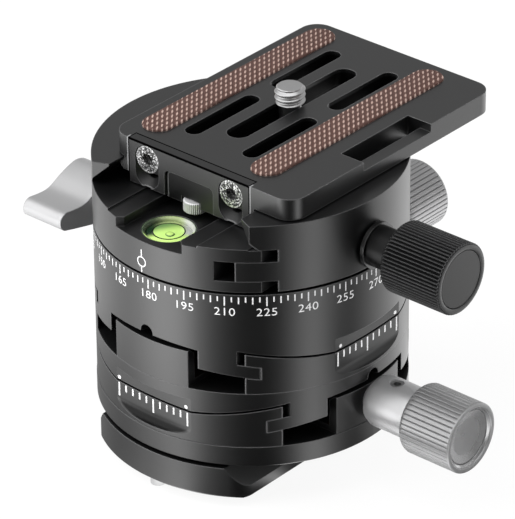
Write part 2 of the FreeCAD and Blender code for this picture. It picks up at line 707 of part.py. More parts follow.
def tilt_knob(knob_shift):
    """Barrel with a cupped end, on a neck that tapers in under the channel and is pinned by a set screw."""
    start = KNOB_START - knob_shift
    end = KNOB_END - knob_shift
    barrel = along_x(KNOB_R, start, end, 0, WORM_AXIS_H)
    rims = [e for e in barrel.Edges if e.BoundBox.XLength < 0.01]
    barrel = barrel.makeFillet(KNOB_ROUND, rims)
    barrel = barrel.cut(along_x(KNOB_CUP_R, end - KNOB_CUP_DEPTH, end + 1, 0, WORM_AXIS_H))
    body = barrel.fuse(along_x(KNOB_NECK_R, KNOB_NECK_START + KNOB_LEAD, start, 0, WORM_AXIS_H))
    lead = Part.makeCone(KNOB_LEAD_R, KNOB_NECK_R, KNOB_LEAD, Vector(KNOB_NECK_START, 0, WORM_AXIS_H),
                         Vector(1, 0, 0))
    body = body.fuse(lead)
    body = body.cut(along_x(WORM_ROOT_R, 0, KNOB_SHAFT_END - knob_shift, 0, WORM_AXIS_H))
    return body.cut(set_screw_shape())


def set_screw_shape():
    return upright(SET_SCREW_R, WORM_AXIS_H + WORM_ROOT_R, WORM_AXIS_H + KNOB_NECK_R + 1, SET_SCREW_X)


def knob_set_screw():
    top = WORM_AXIS_H + KNOB_NECK_R - SET_SCREW_DEPTH
    screw = upright(SET_SCREW_R, WORM_AXIS_H + WORM_ROOT_R, top, SET_SCREW_X)
    return screw.cut(upright(SET_SCREW_R / 2, top - HEX_DEPTH, top + 1, SET_SCREW_X))


def lower_cradle():
    """The lower cradle's flat top carries the upper stage, so it has that stage's screw holes."""
    body = to_lower(cradle(STAGE_H))
    for x, y in rail_screw_places():
        body = body.cut(to_upper(rail_screw_shape(x, y)))
    for x, y in bracket_screw_places():
        body = body.cut(to_upper(bracket_screw_shape(x, y)))
    return body


def rail_screws(place):
    return group([place(rail_screw_shape(x, y)) for x, y in rail_screw_places()])


def bracket_screws(place):
    screws = []
    for x, y in bracket_screw_places():
        screw = bracket_screw_shape(x, y)
        screws.append(place(screw.cut(upright(BRACKET_HEX_R, BRACKET_FLOOR - BRACKET_HEX_DEPTH, FAR, x, y))))
    return group(screws)


# Panning joint


def scale_ring():
    """The upper cradle, with the degree ring's drum on top and the bore for the panning spindle."""
    ring = to_upper(cradle(RING_TOP - UPPER_STAGE_Z))
    ring = ring.cut(upright(PAN_BORE_R, PAN_BORE_FLOOR, FAR))
    return ring.cut(lock_axis_cylinder(LOCK_SCREW_R + RUNNING_GAP, -BODY_R - 1, 0))


def pan_liner():
    liner = upright(PAN_BORE_R, PAN_BORE_FLOOR, PAN_BORE_FLOOR + LINER_H)
    liner = liner.cut(upright(LINER_R, PAN_BORE_FLOOR - 1, FAR))
    return liner.cut(lock_axis_cylinder(LOCK_SCREW_R + RUNNING_GAP, -BODY_R - 1, 0))


def pan_spindle():
    """Drum under the clamp body; the lower flank of its V groove for the lock shoe runs out at its end."""
    groove = SPINDLE_R - SPINDLE_GROOVE_DEPTH
    low_r = groove + (LOCK_Z - SPINDLE_LOW) * SPINDLE_GROOVE_DEPTH / SPINDLE_GROOVE_HALF
    profile = [
        Vector(0, 0, SPINDLE_LOW),
        Vector(low_r, 0, SPINDLE_LOW),
        Vector(groove, 0, LOCK_Z),
        Vector(SPINDLE_R, 0, LOCK_Z + SPINDLE_GROOVE_HALF),
        Vector(SPINDLE_R, 0, CLAMP_LOW),
        Vector(0, 0, CLAMP_LOW),
    ]
    body = turned(profile, Vector(0, 0, 0), Vector(0, 0, 1))
    for x, y in spindle_screw_places():
        body = body.cut(spindle_screw_shape(x, y))
    return body


def spindle_screw_places():
    angles = [60, 180, 300]
    return [(SPINDLE_SCREW_CIRCLE * math.cos(math.radians(a)),
             SPINDLE_SCREW_CIRCLE * math.sin(math.radians(a))) for a in angles]


def spindle_screw_shape(x, y):
    head = upright(SPINDLE_HEAD_R, SPINDLE_HEAD_TOP - SPINDLE_HEAD_H, SPINDLE_HEAD_TOP, x, y)
    return head.fuse(upright(SPINDLE_SCREW_R, SPINDLE_SCREW_START, SPINDLE_HEAD_TOP, x, y))


def spindle_screws():
    screws = []
    for x, y in spindle_screw_places():
        hexagon = upright(HEX_R, SPINDLE_HEAD_TOP - HEX_DEPTH, FAR, x, y)
        screws.append(spindle_screw_shape(x, y).cut(hexagon))
    return group(screws)


def lock_shoe():
    """Pointed pad between the lever's screw and the spindle's groove."""
    start = SHOE_TIP_X + LOCK_SHOE_CONE
    shoe = lock_axis_cylinder(LOCK_SCREW_R, -start - LOCK_SHOE_LENGTH, -start)
    cone = Part.makeCone(LOCK_SCREW_R, LOCK_SHOE_TIP_R, LOCK_SHOE_CONE,
                         Vector(-start, LOCK_Y, LOCK_Z), Vector(1, 0, 0))
    return shoe.fuse(cone)


def lever_wing():
    """Outline of the lever's one wing, a flattened S that ends in a round tip, at the lever's outer face."""
    def at(y, z):
        return Vector(-LEVER_OUTER, LOCK_Y + y, LOCK_Z + z)

    half = math.sqrt(LEVER_HUB_R ** 2 - WING_ROOT ** 2)
    top = Part.BSplineCurve()
    top.interpolate([at(-WING_ROOT, half)] + [at(y, z) for y, z in WING_TOP])
    low = Part.BSplineCurve()
    low.interpolate([at(y, z) for y, z in WING_LOW] + [at(-WING_ROOT, -half)])
    tip = Part.Arc(at(*WING_TOP[-1]), at(*WING_TIP), at(*WING_LOW[0]))
    root = Part.LineSegment(at(-WING_ROOT, -half), at(-WING_ROOT, half))
    return Part.Wire([top.toShape(), tip.toShape(), low.toShape(), root.toShape()])


def lock_axis_cylinder(radius, x0, x1):
    return along_x(radius, x0, x1, LOCK_Y, LOCK_Z)


def pan_lock_lever():
    wing = Part.Face(lever_wing()).extrude(Vector(LEVER_OUTER - LEVER_INNER, 0, 0))
    body = wing.fuse(lock_axis_cylinder(LEVER_HUB_R, -LEVER_OUTER, -LEVER_INNER))
    body = body.fuse(lock_axis_cylinder(LEVER_NECK_R, -LEVER_INNER - 1, -LEVER_NECK_START))
    return body.cut(lock_axis_cylinder(LOCK_SCREW_R, -LEVER_INNER - LOCK_SCREW_GRIP, 0))


def pan_lock_screw():
    tip = SHOE_TIP_X + LOCK_SHOE_CONE + LOCK_SHOE_LENGTH
    return lock_axis_cylinder(LOCK_SCREW_R, -LEVER_INNER - LOCK_SCREW_GRIP, -tip)


# Clamp


def dovetail_side(half, low, high):
    """The clamp's undercut lip on one side, as a closed outline in XZ; half is the lip's edge."""
    flank = half + LIP_FLANK
    hollow = Part.Arc(Vector(flank, -FAR, high - LIP_LAND - LIP_FLANK),
                      Vector(flank + LIP_HOLLOW_SIDE, -FAR, low + LIP_HOLLOW_RISE),
                      Vector(LIP_HOLLOW, -FAR, low)).toShape()
    return flank, hollow


def channel_cut():
    """Everything the plate's channel takes out of the clamp body, seen along Y."""
    low = FLOOR_Z
    flank, hollow = dovetail_side(LIP_EDGE, low, CLAMP_TOP)
    points = [
        Vector(LIP_HOLLOW, -FAR, low),
        Vector(-FAR, -FAR, low),
        Vector(-FAR, -FAR, CLAMP_TOP + 1),
        Vector(LIP_EDGE, -FAR, CLAMP_TOP + 1),
        Vector(LIP_EDGE, -FAR, CLAMP_TOP - LIP_LAND),
        Vector(flank, -FAR, CLAMP_TOP - LIP_LAND - LIP_FLANK),
    ]
    outline = Part.Wire([hollow] + Part.makePolygon(points).Edges)
    cut = Part.Face(outline).extrude(Vector(0, 2 * FAR, 0))
    return cut.mirror(Vector(0, 0, 0), Vector(1, 0, 0))


def guide_cut(side):
    """Slanted lead-in at each end of a lip; side is -1 or +1 in X."""
    edge = LIP_EDGE - 1
    slope = (math.sqrt(BODY_R ** 2 - LIP_GUIDE_X ** 2) - LIP_GUIDE_Y) / (LIP_GUIDE_X - LIP_EDGE)
    far_x = LIP_GUIDE_X + LIP_GUIDE_REACH
    outline = [
        Vector(side * edge, LIP_GUIDE_Y - slope, FLOOR_Z - 0.1),
        Vector(side * far_x, LIP_GUIDE_Y + slope * (far_x - LIP_EDGE), FLOOR_Z - 0.1),
        Vector(side * far_x, FAR, FLOOR_Z - 0.1),
        Vector(side * edge, FAR, FLOOR_Z - 0.1),
    ]
    return both_y(prism(outline, Vector(0, 0, CLAMP_H)))


def end_recess():
    """Room at the channel's near end for the plate's safety screw, its two outer corners cut away."""
    recess = block(-END_RECESS_HALF, END_RECESS_HALF, -FAR, -END_RECESS_Y, END_RECESS_Z, FAR)
    rim = math.sqrt(BODY_R ** 2 - END_RECESS_HALF ** 2)
    outline = [
        Vector(END_RECESS_HALF, END_RECESS_CORNER_DEEP - rim, END_RECESS_Z),
        Vector(END_RECESS_HALF + END_RECESS_CORNER_WIDE, END_RECESS_CORNER_LEFT - rim, END_RECESS_Z),
        Vector(END_RECESS_HALF + END_RECESS_CORNER_WIDE, -FAR, END_RECESS_Z),
        Vector(END_RECESS_HALF, -FAR, END_RECESS_Z),
    ]
    return recess.fuse(both_x(prism(outline, Vector(0, 0, CLAMP_H))))


def clamp_body():
    """Round body with the fixed lip, the channel floor, the level's pocket and the jaw's slideway."""
    body = upright(BODY_R, CLAMP_LOW, CLAMP_TOP)
    body = body.cut(channel_cut())
    body = body.cut(block(JAW_BODY_END, FAR, -FAR, FAR, 0, FAR))
    body = body.cut(block(JAW_SEAT_X, FAR, -FAR, FAR, PAN_SEAM + JAW_SEAT_H, FAR))
    slideway = block(JAW_TONGUE_X - JAW_TONGUE_END_GAP, FAR, -FAR, FAR,
                     PAN_SEAM + JAW_TONGUE_LOW - RUNNING_GAP, PAN_SEAM + JAW_TONGUE_HIGH + RUNNING_GAP)
    body = body.cut(slideway)
    groove_low = FLOOR_Z - CLAMP_GROOVE_DEPTH
    body = body.cut(block(-CLAMP_GROOVE_HALF, CLAMP_GROOVE_HALF, -FAR, FAR, groove_low, FAR))
    lip_end = guide_cut(-1)
    body = body.cut(lip_end.common(block(-FAR, 0, -FAR, FAR, FLOOR_Z, FAR)))
    body = body.cut(both_y(end_recess()))
    body = body.cut(upright(LEVEL_R, LEVEL_LOW, FAR, 0, -LEVEL_Y))
    body = body.cut(along_x(CLAMP_SCREW_R + RUNNING_GAP, CLAMP_SCREW_START - 1, FAR, 0, CLAMP_SCREW_Z))
    for y in (-GUIDE_PIN_Y, GUIDE_PIN_Y):
        body = body.cut(along_x(GUIDE_PIN_R, GUIDE_PIN_START, FAR, y, CLAMP_SCREW_Z))
    for x, y in spindle_screw_places():
        body = body.cut(spindle_screw_shape(x, y).fuse(upright(SPINDLE_HEAD_R, FLOOR_Z - 1, FAR, x, y)))
    return body


def guide_pins():
    return group([along_x(GUIDE_PIN_R, GUIDE_PIN_START, GUIDE_PIN_END, y, CLAMP_SCREW_Z)
                  for y in (-GUIDE_PIN_Y, GUIDE_PIN_Y)])


def level_ring():
    ring = upright(LEVEL_R, LEVEL_LOW, LEVEL_TOP, 0, -LEVEL_Y)
    return ring.cut(upright(LEVEL_R - LEVEL_RING, LEVEL_LOW + LEVEL_FLOOR, FAR, 0, -LEVEL_Y))


def level_vial():
    top = LEVEL_TOP - VIAL_SUNK
    vial = upright(LEVEL_R - LEVEL_RING, LEVEL_LOW + LEVEL_FLOOR, top, 0, -LEVEL_Y)
    return vial.makeFillet(VIAL_EDGE, [e for e in vial.Edges if e.BoundBox.ZMin > top - 0.01])


def movable_jaw():
    """Outer jaw: an upright block, a tongue that slides in the body, and the lip over its edge."""
    disc = upright(BODY_R, CLAMP_LOW, CLAMP_TOP)
    jaw = disc.common(block(JAW_START, FAR, -FAR, FAR, 0, FAR))
    tongue_low = PAN_SEAM + JAW_TONGUE_LOW
    tongue_high = PAN_SEAM + JAW_TONGUE_HIGH
    jaw = jaw.fuse(disc.common(block(JAW_TONGUE_X, JAW_START + 1, -FAR, FAR, tongue_low, tongue_high)))
    low = PAN_SEAM + JAW_SEAT_H + RUNNING_GAP
    flank, hollow = dovetail_side(LIP_EDGE, low, CLAMP_TOP)
    points = [
        Vector(LIP_HOLLOW, -FAR, low),
        Vector(JAW_START + 1, -FAR, low),
        Vector(JAW_START + 1, -FAR, CLAMP_TOP),
        Vector(LIP_EDGE, -FAR, CLAMP_TOP),
        Vector(LIP_EDGE, -FAR, CLAMP_TOP - LIP_LAND),
        Vector(flank, -FAR, CLAMP_TOP - LIP_LAND - LIP_FLANK),
    ]
    outline = Part.Wire([hollow] + Part.makePolygon(points).Edges)
    lip = Part.Face(outline).extrude(Vector(0, 2 * FAR, 0)).common(disc)
    jaw = jaw.fuse(lip)
    jaw = jaw.cut(guide_cut(1).common(block(0, FAR, -FAR, FAR, low - 0.1, FAR)))
    jaw = jaw.cut(along_x(CLAMP_SCREW_R + RUNNING_GAP, 0, FAR, 0, CLAMP_SCREW_Z))
    for y in (-GUIDE_PIN_Y, GUIDE_PIN_Y):
        hole_end = GUIDE_PIN_END + GUIDE_PIN_END_GAP
        jaw = jaw.cut(along_x(GUIDE_PIN_R + RUNNING_GAP, 0, hole_end, y, CLAMP_SCREW_Z))
    return jaw


def clamp_screw():
    return along_x(CLAMP_SCREW_R, CLAMP_SCREW_START, CLAMP_SCREW_END, 0, CLAMP_SCREW_Z)


def clamp_knob():
    barrel = along_x(CLAMP_KNOB_R, CLAMP_KNOB_START, CLAMP_KNOB_END, 0, CLAMP_SCREW_Z)
    rims = [e for e in barrel.Edges if e.BoundBox.XLength < 0.01]
    barrel = barrel.makeFillet(CLAMP_KNOB_ROUND, rims)
    barrel = barrel.cut(along_x(CLAMP_CAP_R + SEAT_GAP, CAP_SEAT_X, FAR, 0, CLAMP_SCREW_Z))
    body = barrel.fuse(along_x(CLAMP_NECK_R, CLAMP_NECK_START, CLAMP_KNOB_START, 0, CLAMP_SCREW_Z))
    body = body.cut(along_x(CLAMP_SCREW_R, 0, CLAMP_SCREW_END, 0, CLAMP_SCREW_Z))
    ring = along_x(CLAMP_RING_R + 1, CLAMP_NECK_START, CLAMP_NECK_START + CLAMP_RING_LENGTH, 0, CLAMP_SCREW_Z)
    return body.cut(ring.cut(along_x(CLAMP_RING_BORE, 0, FAR, 0, CLAMP_SCREW_Z)))


def clamp_knob_ring():
    ring = along_x(CLAMP_RING_R, CLAMP_NECK_START, CLAMP_NECK_START + CLAMP_RING_LENGTH, 0, CLAMP_SCREW_Z)
    return ring.cut(along_x(CLAMP_RING_BORE, 0, FAR, 0, CLAMP_SCREW_Z))


def clamp_knob_cap():
    return along_x(CLAMP_CAP_R, CAP_SEAT_X, CLAMP_KNOB_END - CLAMP_CAP_SUNK, 0, CLAMP_SCREW_Z)


# Plate


def plate_dovetail():
    """The plate's own dovetail, which the lips hold by its slanted flanks."""
    flank_top = CLAMP_TOP - LIP_LAND + LIP_EDGE
    neck = LIP_EDGE - LIP_LAND / 2 - RUNNING_GAP
    flank_low = flank_top - RUNNING_GAP - PLATE_TIP
    half = [
        Vector(0, PLATE_NEAR, FLANGE_LOW + 0.5),
        Vector(neck, PLATE_NEAR, FLANGE_LOW + 0.5),
        Vector(neck, PLATE_NEAR, flank_top - RUNNING_GAP - neck),
        Vector(PLATE_TIP, PLATE_NEAR, flank_low),
        Vector(PLATE_TIP, PLATE_NEAR, flank_low - PLATE_TIP_LAND),
        Vector(PLATE_TIP - PLATE_TIP_CUT, PLATE_NEAR, PLATE_LOW_Z),
        Vector(0, PLATE_NEAR, PLATE_LOW_Z),
    ]
    return both_x(prism(half, Vector(0, PLATE_FAR - PLATE_NEAR, 0)))


def plate_blank():
    flange = block(PLATE_LEFT, PLATE_RIGHT, PLATE_NEAR, PLATE_FAR, FLANGE_LOW, PLATE_TOP_Z)
    corners = [e for e in flange.Edges if e.BoundBox.ZLength > 1]
    flange = flange.makeFillet(PLATE_CORNER, corners)
    return flange.fuse(plate_dovetail())


def window_tongue():
    """The plate's own tongue behind the backstop's window, notched round the safety screw's head."""
    half = BACKSTOP_WINDOW_HALF - WINDOW_TONGUE_GAP
    top = PAN_SEAM + BACKSTOP_WINDOW_TOP - WINDOW_TONGUE_GAP
    tongue = block(-half, half, PLATE_NEAR + WINDOW_TONGUE_BACK, PLATE_NEAR + BACKSTOP_THICK + 1,
                   PAN_SEAM + WINDOW_TONGUE_LOW, top)
    corners = [e for e in tongue.Edges if e.BoundBox.YLength > 1 and e.BoundBox.ZMin > top - 1]
    tongue = tongue.makeFillet(BACKSTOP_CORNER, corners)
    notch_top = PAN_SEAM + SAFETY_HEAD_HIGH + SAFETY_NOTCH_GAP
    return tongue.cut(upright(SAFETY_HEAD_R + SAFETY_NOTCH_GAP, 0, notch_top, 0, -SAFETY_Y))


def quick_release_plate():
    """Plate with five long slots, a strap slot at the side, two strip seats and a backstop seat."""
    plate = plate_blank()
    through_low = PLATE_LOW_Z - 1
    through_top = PLATE_TOP_Z + 1
    for x in (SLOT_LEFT, SLOT_RIGHT):
        plate = plate.cut(slot(x, SLOT_HALF, SLOT_NEAR, SLOT_NEAR_END, through_low, through_top))
        plate = plate.cut(slot(x, SLOT_HALF, SLOT_FAR, SLOT_FAR_END, through_low, through_top))
    plate = plate.cut(slot(SCREW_SLOT_X, SCREW_SLOT_HALF, SCREW_SLOT_NEAR, SCREW_SLOT_FAR,
                           through_low, through_top))
    plate = plate.cut(slot(SCREW_SLOT_X, SCREW_POCKET_HALF, SCREW_SLOT_NEAR - SCREW_POCKET_END,
                           SCREW_SLOT_FAR + SCREW_POCKET_END, through_low, PAN_SEAM + SCREW_SLOT_SHELF))
    plate = plate.cut(block(STRAP_LEFT, STRAP_RIGHT, STRAP_NEAR, STRAP_FAR, through_low, through_top))
    bar_top = PLATE_TOP_Z - STRAP_BAR_DROP
    plate = plate.cut(block(STRAP_LEFT, FAR, STRAP_NEAR, STRAP_FAR, bar_top, through_top))
    plate = plate.cut(grip_strip_shape(STRIP_LEFT, PLATE_TOP_Z - STRIP_SEAT, through_top))
    plate = plate.cut(grip_strip_shape(STRIP_RIGHT, PLATE_TOP_Z - STRIP_SEAT, through_top))
    seat = block(-BACKSTOP_HALF, BACKSTOP_HALF, PLATE_NEAR - 1, PLATE_NEAR + BACKSTOP_THICK, 0, through_top)
    plate = plate.cut(seat)
    plate = plate.fuse(window_tongue())
    for x in (-BACKSTOP_SCREW_X, BACKSTOP_SCREW_X):
        plate = plate.cut(backstop_screw_shape(x))
    for y in (-SAFETY_Y, SAFETY_FAR_Y):
        shank_low = PAN_SEAM + SAFETY_HEAD_HIGH
        plate = plate.cut(upright(SAFETY_SHANK_R, shank_low, PLATE_LOW_Z + SAFETY_SHANK, 0, y))
    return plate


def grip_strip_shape(x, low, high):
    return slot(x, STRIP_WIDTH / 2, STRIP_NEAR, STRIP_FAR, low, high)


def grip_strips():
    low = PLATE_TOP_Z - STRIP_SEAT
    return group([grip_strip_shape(x, low, low + STRIP_THICK) for x in (STRIP_LEFT, STRIP_RIGHT)])


def backstop():
    """Stop bar across the plate's near end, with a window over the safety screw and two lifting slots."""
    low = PAN_SEAM + BACKSTOP_LOW
    bar = block(-BACKSTOP_HALF, BACKSTOP_HALF, PLATE_NEAR, PLATE_NEAR + BACKSTOP_THICK, low, PLATE_TOP_Z)
    window = block(-BACKSTOP_WINDOW_HALF, BACKSTOP_WINDOW_HALF, PLATE_NEAR - 1,
                   PLATE_NEAR + BACKSTOP_THICK + 1, low - 1, PAN_SEAM + BACKSTOP_WINDOW_TOP)
    corners = [e for e in window.Edges if e.BoundBox.YLength > 1 and e.BoundBox.ZMin > low]
    window = window.makeFillet(BACKSTOP_CORNER, corners)
    bar = bar.cut(window)
    for x in (-BACKSTOP_SCREW_X, BACKSTOP_SCREW_X):
        bar = bar.cut(backstop_slot_shape(x))
    return bar


def backstop_slot_shape(x):
    """Countersunk slot: the screw's own shape swept down, so that the bar can rise past its screw."""
    z = PAN_SEAM + BACKSTOP_SCREW_H
    face = PLATE_NEAR + BACKSTOP_HEAD_SUNK
    sides = [(BACKSTOP_HEAD_R, PLATE_NEAR - BACKSTOP_HEAD_REACH), (BACKSTOP_HEAD_R, face),
             (BACKSTOP_SHANK_R, face + BACKSTOP_HEAD_CONE), (BACKSTOP_SHANK_R, PLATE_NEAR + BACKSTOP_SHANK)]
    points = [Vector(x + r, y, z) for r, y in sides] + [Vector(x - r, y, z) for r, y in reversed(sides)]
    screw = backstop_screw_shape(x)
    lowered = screw.copy()
    lowered.translate(Vector(0, 0, -BACKSTOP_LIFT))
    return screw.fuse(lowered).fuse(prism(points, Vector(0, 0, -BACKSTOP_LIFT)))


def backstop_screw_shape(x):
    """Countersunk screw along Y, its head just below the bar's face."""
    z = PAN_SEAM + BACKSTOP_SCREW_H
    face = PLATE_NEAR + BACKSTOP_HEAD_SUNK
    head = Part.makeCone(BACKSTOP_HEAD_R, BACKSTOP_SHANK_R, BACKSTOP_HEAD_CONE,
                         Vector(x, face, z), Vector(0, 1, 0))
    head = head.fuse(along_y(BACKSTOP_HEAD_R, PLATE_NEAR - BACKSTOP_HEAD_REACH, face, x, z))
    return head.fuse(along_y(BACKSTOP_SHANK_R, face, PLATE_NEAR + BACKSTOP_SHANK, x, z))


def backstop_screws():
    screws = []
    z = PAN_SEAM + BACKSTOP_SCREW_H
    face = PLATE_NEAR + BACKSTOP_HEAD_SUNK
    for x in (-BACKSTOP_SCREW_X, BACKSTOP_SCREW_X):
        screw = backstop_screw_shape(x).cut(along_y(BACKSTOP_HEAD_R + 1, -FAR, face, x, z))
        screws.append(screw.cut(along_y(HEX_R, face - 1, face + HEX_DEPTH, x, z)))
    return group(screws)


def safety_screws():
    """Hanging screws under the plate's ends; in the body's end recesses they keep it from sliding out."""
    screws = []
    for y in (-SAFETY_Y, SAFETY_FAR_Y):
        head = upright(SAFETY_HEAD_R, PAN_SEAM + SAFETY_HEAD_LOW, PAN_SEAM + SAFETY_HEAD_HIGH, 0, y)
        top = PLATE_LOW_Z + SAFETY_SHANK
        screws.append(head.fuse(upright(SAFETY_SHANK_R, PAN_SEAM + SAFETY_HEAD_HIGH, top, 0, y)))
    return group(screws)


def camera_screw():
    """Captive camera screw: coin-slot head in the plate's pocket, neck in the slot, thread above."""
    top = PAN_SEAM + CAMERA_TOP
    profile = [
        Vector(SCREW_SLOT_X, CAMERA_Y, PAN_SEAM + CAMERA_HEAD_LOW),
        Vector(SCREW_SLOT_X + CAMERA_HEAD_R, CAMERA_Y, PAN_SEAM + CAMERA_HEAD_LOW),
        Vector(SCREW_SLOT_X + CAMERA_HEAD_R, CAMERA_Y, PAN_SEAM + CAMERA_HEAD_HIGH),
        Vector(SCREW_SLOT_X + CAMERA_NECK_R, CAMERA_Y, PAN_SEAM + CAMERA_HEAD_HIGH),
        Vector(SCREW_SLOT_X + CAMERA_NECK_R, CAMERA_Y, PLATE_TOP_Z + RUNNING_GAP),
        Vector(SCREW_SLOT_X + CAMERA_R, CAMERA_Y, PAN_SEAM + CAMERA_THREAD_LOW),
        Vector(SCREW_SLOT_X + CAMERA_R, CAMERA_Y, top - CAMERA_POINT),
        Vector(SCREW_SLOT_X + CAMERA_R - CAMERA_POINT, CAMERA_Y, top),
        Vector(SCREW_SLOT_X, CAMERA_Y, top),
    ]
    screw = turned(profile, Vector(SCREW_SLOT_X, CAMERA_Y, 0), Vector(0, 0, 1))
    coin = block(-FAR, FAR, CAMERA_Y - CAMERA_SLOT / 2, CAMERA_Y + CAMERA_SLOT / 2,
                 0, PAN_SEAM + CAMERA_HEAD_LOW + CAMERA_SLOT_DEPTH)
    return screw.cut(coin)


def camera_screw_washer():
    low = PAN_SEAM + CAMERA_HEAD_HIGH + RUNNING_GAP
    high = PAN_SEAM + SCREW_SLOT_SHELF - RUNNING_GAP
    ring = upright(CAMERA_HEAD_R, low, high, SCREW_SLOT_X, CAMERA_Y)
    return ring.cut(upright(CAMERA_NECK_R + RUNNING_GAP, 0, FAR, SCREW_SLOT_X, CAMERA_Y))


# Write every node

save(foot_plate(), "foot_plate")
save(foot_screws(), "foot_screws")
save(foot_stop_screw(), "foot_stop_screw")
save(base_disc(), "base_disc")

save(to_lower(rail(-1)), "lower_rail_near")
save(to_lower(rail(1)), "lower_rail_far")
save(rail_screws(to_lower), "lower_rail_screws")
save(to_lower(worm_bracket()), "lower_worm_bracket")
save(bracket_screws(to_lower), "lower_bracket_screws")
save(to_lower(worm_bushes()), "lower_worm_bushes")
save(to_lower(worm_shaft(0)), "lower_worm_shaft")
save(to_lower(tilt_knob(0)), "lower_tilt_knob")
save(to_lower(knob_set_screw()), "lower_knob_set_screw")
save(lower_cradle(), "lower_cradle")
save(to_lower(sector()), "lower_sector")
save(to_lower(group(sector_screw_shapes(SECTOR_SCREW_SUNK))), "lower_sector_screws")

save(to_upper(rail(-1)), "upper_rail_right")
save(to_upper(rail(1)), "upper_rail_left")
save(rail_screws(to_upper), "upper_rail_screws")
save(to_upper(worm_bracket()), "upper_worm_bracket")
save(bracket_screws(to_upper), "upper_bracket_screws")
save(to_upper(worm_bushes()), "upper_worm_bushes")
save(to_upper(worm_shaft(UPPER_KNOB_SHIFT)), "upper_worm_shaft")
save(to_upper(tilt_knob(UPPER_KNOB_SHIFT)), "upper_tilt_knob")
save(to_upper(knob_set_screw()), "upper_knob_set_screw")
save(scale_ring(), "scale_ring")
save(to_upper(sector()), "upper_sector")
save(to_upper(group(sector_screw_shapes(SECTOR_SCREW_SUNK))), "upper_sector_screws")

save(pan_liner(), "pan_liner")
save(lock_shoe(), "lock_shoe")
save(pan_lock_lever(), "pan_lock_lever")
save(pan_lock_screw(), "pan_lock_screw")
save(pan_spindle(), "pan_spindle")
save(spindle_screws(), "spindle_screws")

save(clamp_body(), "clamp_body")
save(guide_pins(), "jaw_guide_pins")
save(level_ring(), "level_ring")
save(level_vial(), "level_vial")
save(movable_jaw(), "movable_jaw")
save(clamp_screw(), "clamp_screw")
save(clamp_knob(), "clamp_knob")
save(clamp_knob_ring(), "clamp_knob_ring")
save(clamp_knob_cap(), "clamp_knob_cap")

save(quick_release_plate(), "quick_release_plate")
save(grip_strips(), "grip_strips")
save(backstop(), "backstop")
save(backstop_screws(), "backstop_screws")
save(safety_screws(), "safety_screws")
save(camera_screw(), "camera_screw")
save(camera_screw_washer(), "camera_screw_washer")
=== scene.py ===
"""Geared levelling head: the dressed model on a pale studio floor, seen as in the photograph."""
from math import cos, pi, radians, sin, sqrt

import bmesh
import bpy
from mathutils import Matrix, Vector


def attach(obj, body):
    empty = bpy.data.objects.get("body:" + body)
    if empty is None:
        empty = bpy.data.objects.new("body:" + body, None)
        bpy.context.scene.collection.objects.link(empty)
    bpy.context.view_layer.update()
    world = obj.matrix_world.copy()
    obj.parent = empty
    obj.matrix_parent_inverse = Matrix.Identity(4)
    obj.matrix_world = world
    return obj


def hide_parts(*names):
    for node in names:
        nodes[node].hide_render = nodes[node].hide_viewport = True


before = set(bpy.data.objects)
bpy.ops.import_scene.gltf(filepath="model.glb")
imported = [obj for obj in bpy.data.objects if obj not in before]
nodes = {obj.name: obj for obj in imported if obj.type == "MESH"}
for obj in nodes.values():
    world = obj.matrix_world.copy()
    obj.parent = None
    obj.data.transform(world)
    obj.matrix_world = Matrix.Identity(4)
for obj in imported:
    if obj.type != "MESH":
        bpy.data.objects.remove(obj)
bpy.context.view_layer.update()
scene = bpy.context.scene
scene.view_settings.view_transform = "Standard"


# Camera
# A long lens about 0.88 m away, looking down a little from the corner where both the silver lower knob
# and the bubble level show. It was fitted to the round seams of the body.

CAMERA_AZIMUTH = 0.717474598
CAMERA_HEIGHT_ANGLE = 0.509884067
CAMERA_ROLL = -0.00961576
CAMERA_DISTANCE = 0.88032
CAMERA_AIM_RIGHT = 0.0014119
CAMERA_AIM_DOWN = 0.0103474
CAMERA_LENS_MM = 304.85
CAMERA_FILM_MM = 36
PAN_SEAM_Z = 0.0475

reach = cos(CAMERA_HEIGHT_ANGLE)
back = Vector((sin(CAMERA_AZIMUTH) * reach, -cos(CAMERA_AZIMUTH) * reach, sin(CAMERA_HEIGHT_ANGLE)))
level_right = Vector((cos(CAMERA_AZIMUTH), sin(CAMERA_AZIMUTH), 0))
level_up = back.cross(level_right)
right = level_right * cos(CAMERA_ROLL) + level_up * sin(CAMERA_ROLL)
up = level_up * cos(CAMERA_ROLL) - level_right * sin(CAMERA_ROLL)
sight = (right * CAMERA_AIM_RIGHT - up * CAMERA_AIM_DOWN - back).normalized()
right = sight.cross(up).normalized()
up = right.cross(sight)
camera = bpy.data.objects.new("camera", bpy.data.cameras.new("camera"))
camera.data.lens = CAMERA_LENS_MM
camera.data.sensor_width = CAMERA_FILM_MM
camera.data.sensor_fit = "HORIZONTAL"
camera.data.clip_start = 0.01
camera.matrix_world = Matrix.Translation(back * CAMERA_DISTANCE + Vector((0, 0, PAN_SEAM_Z))) @ Matrix(
    (right, up, -sight)).transposed().to_4x4()
scene.collection.objects.link(camera)
scene.camera = camera
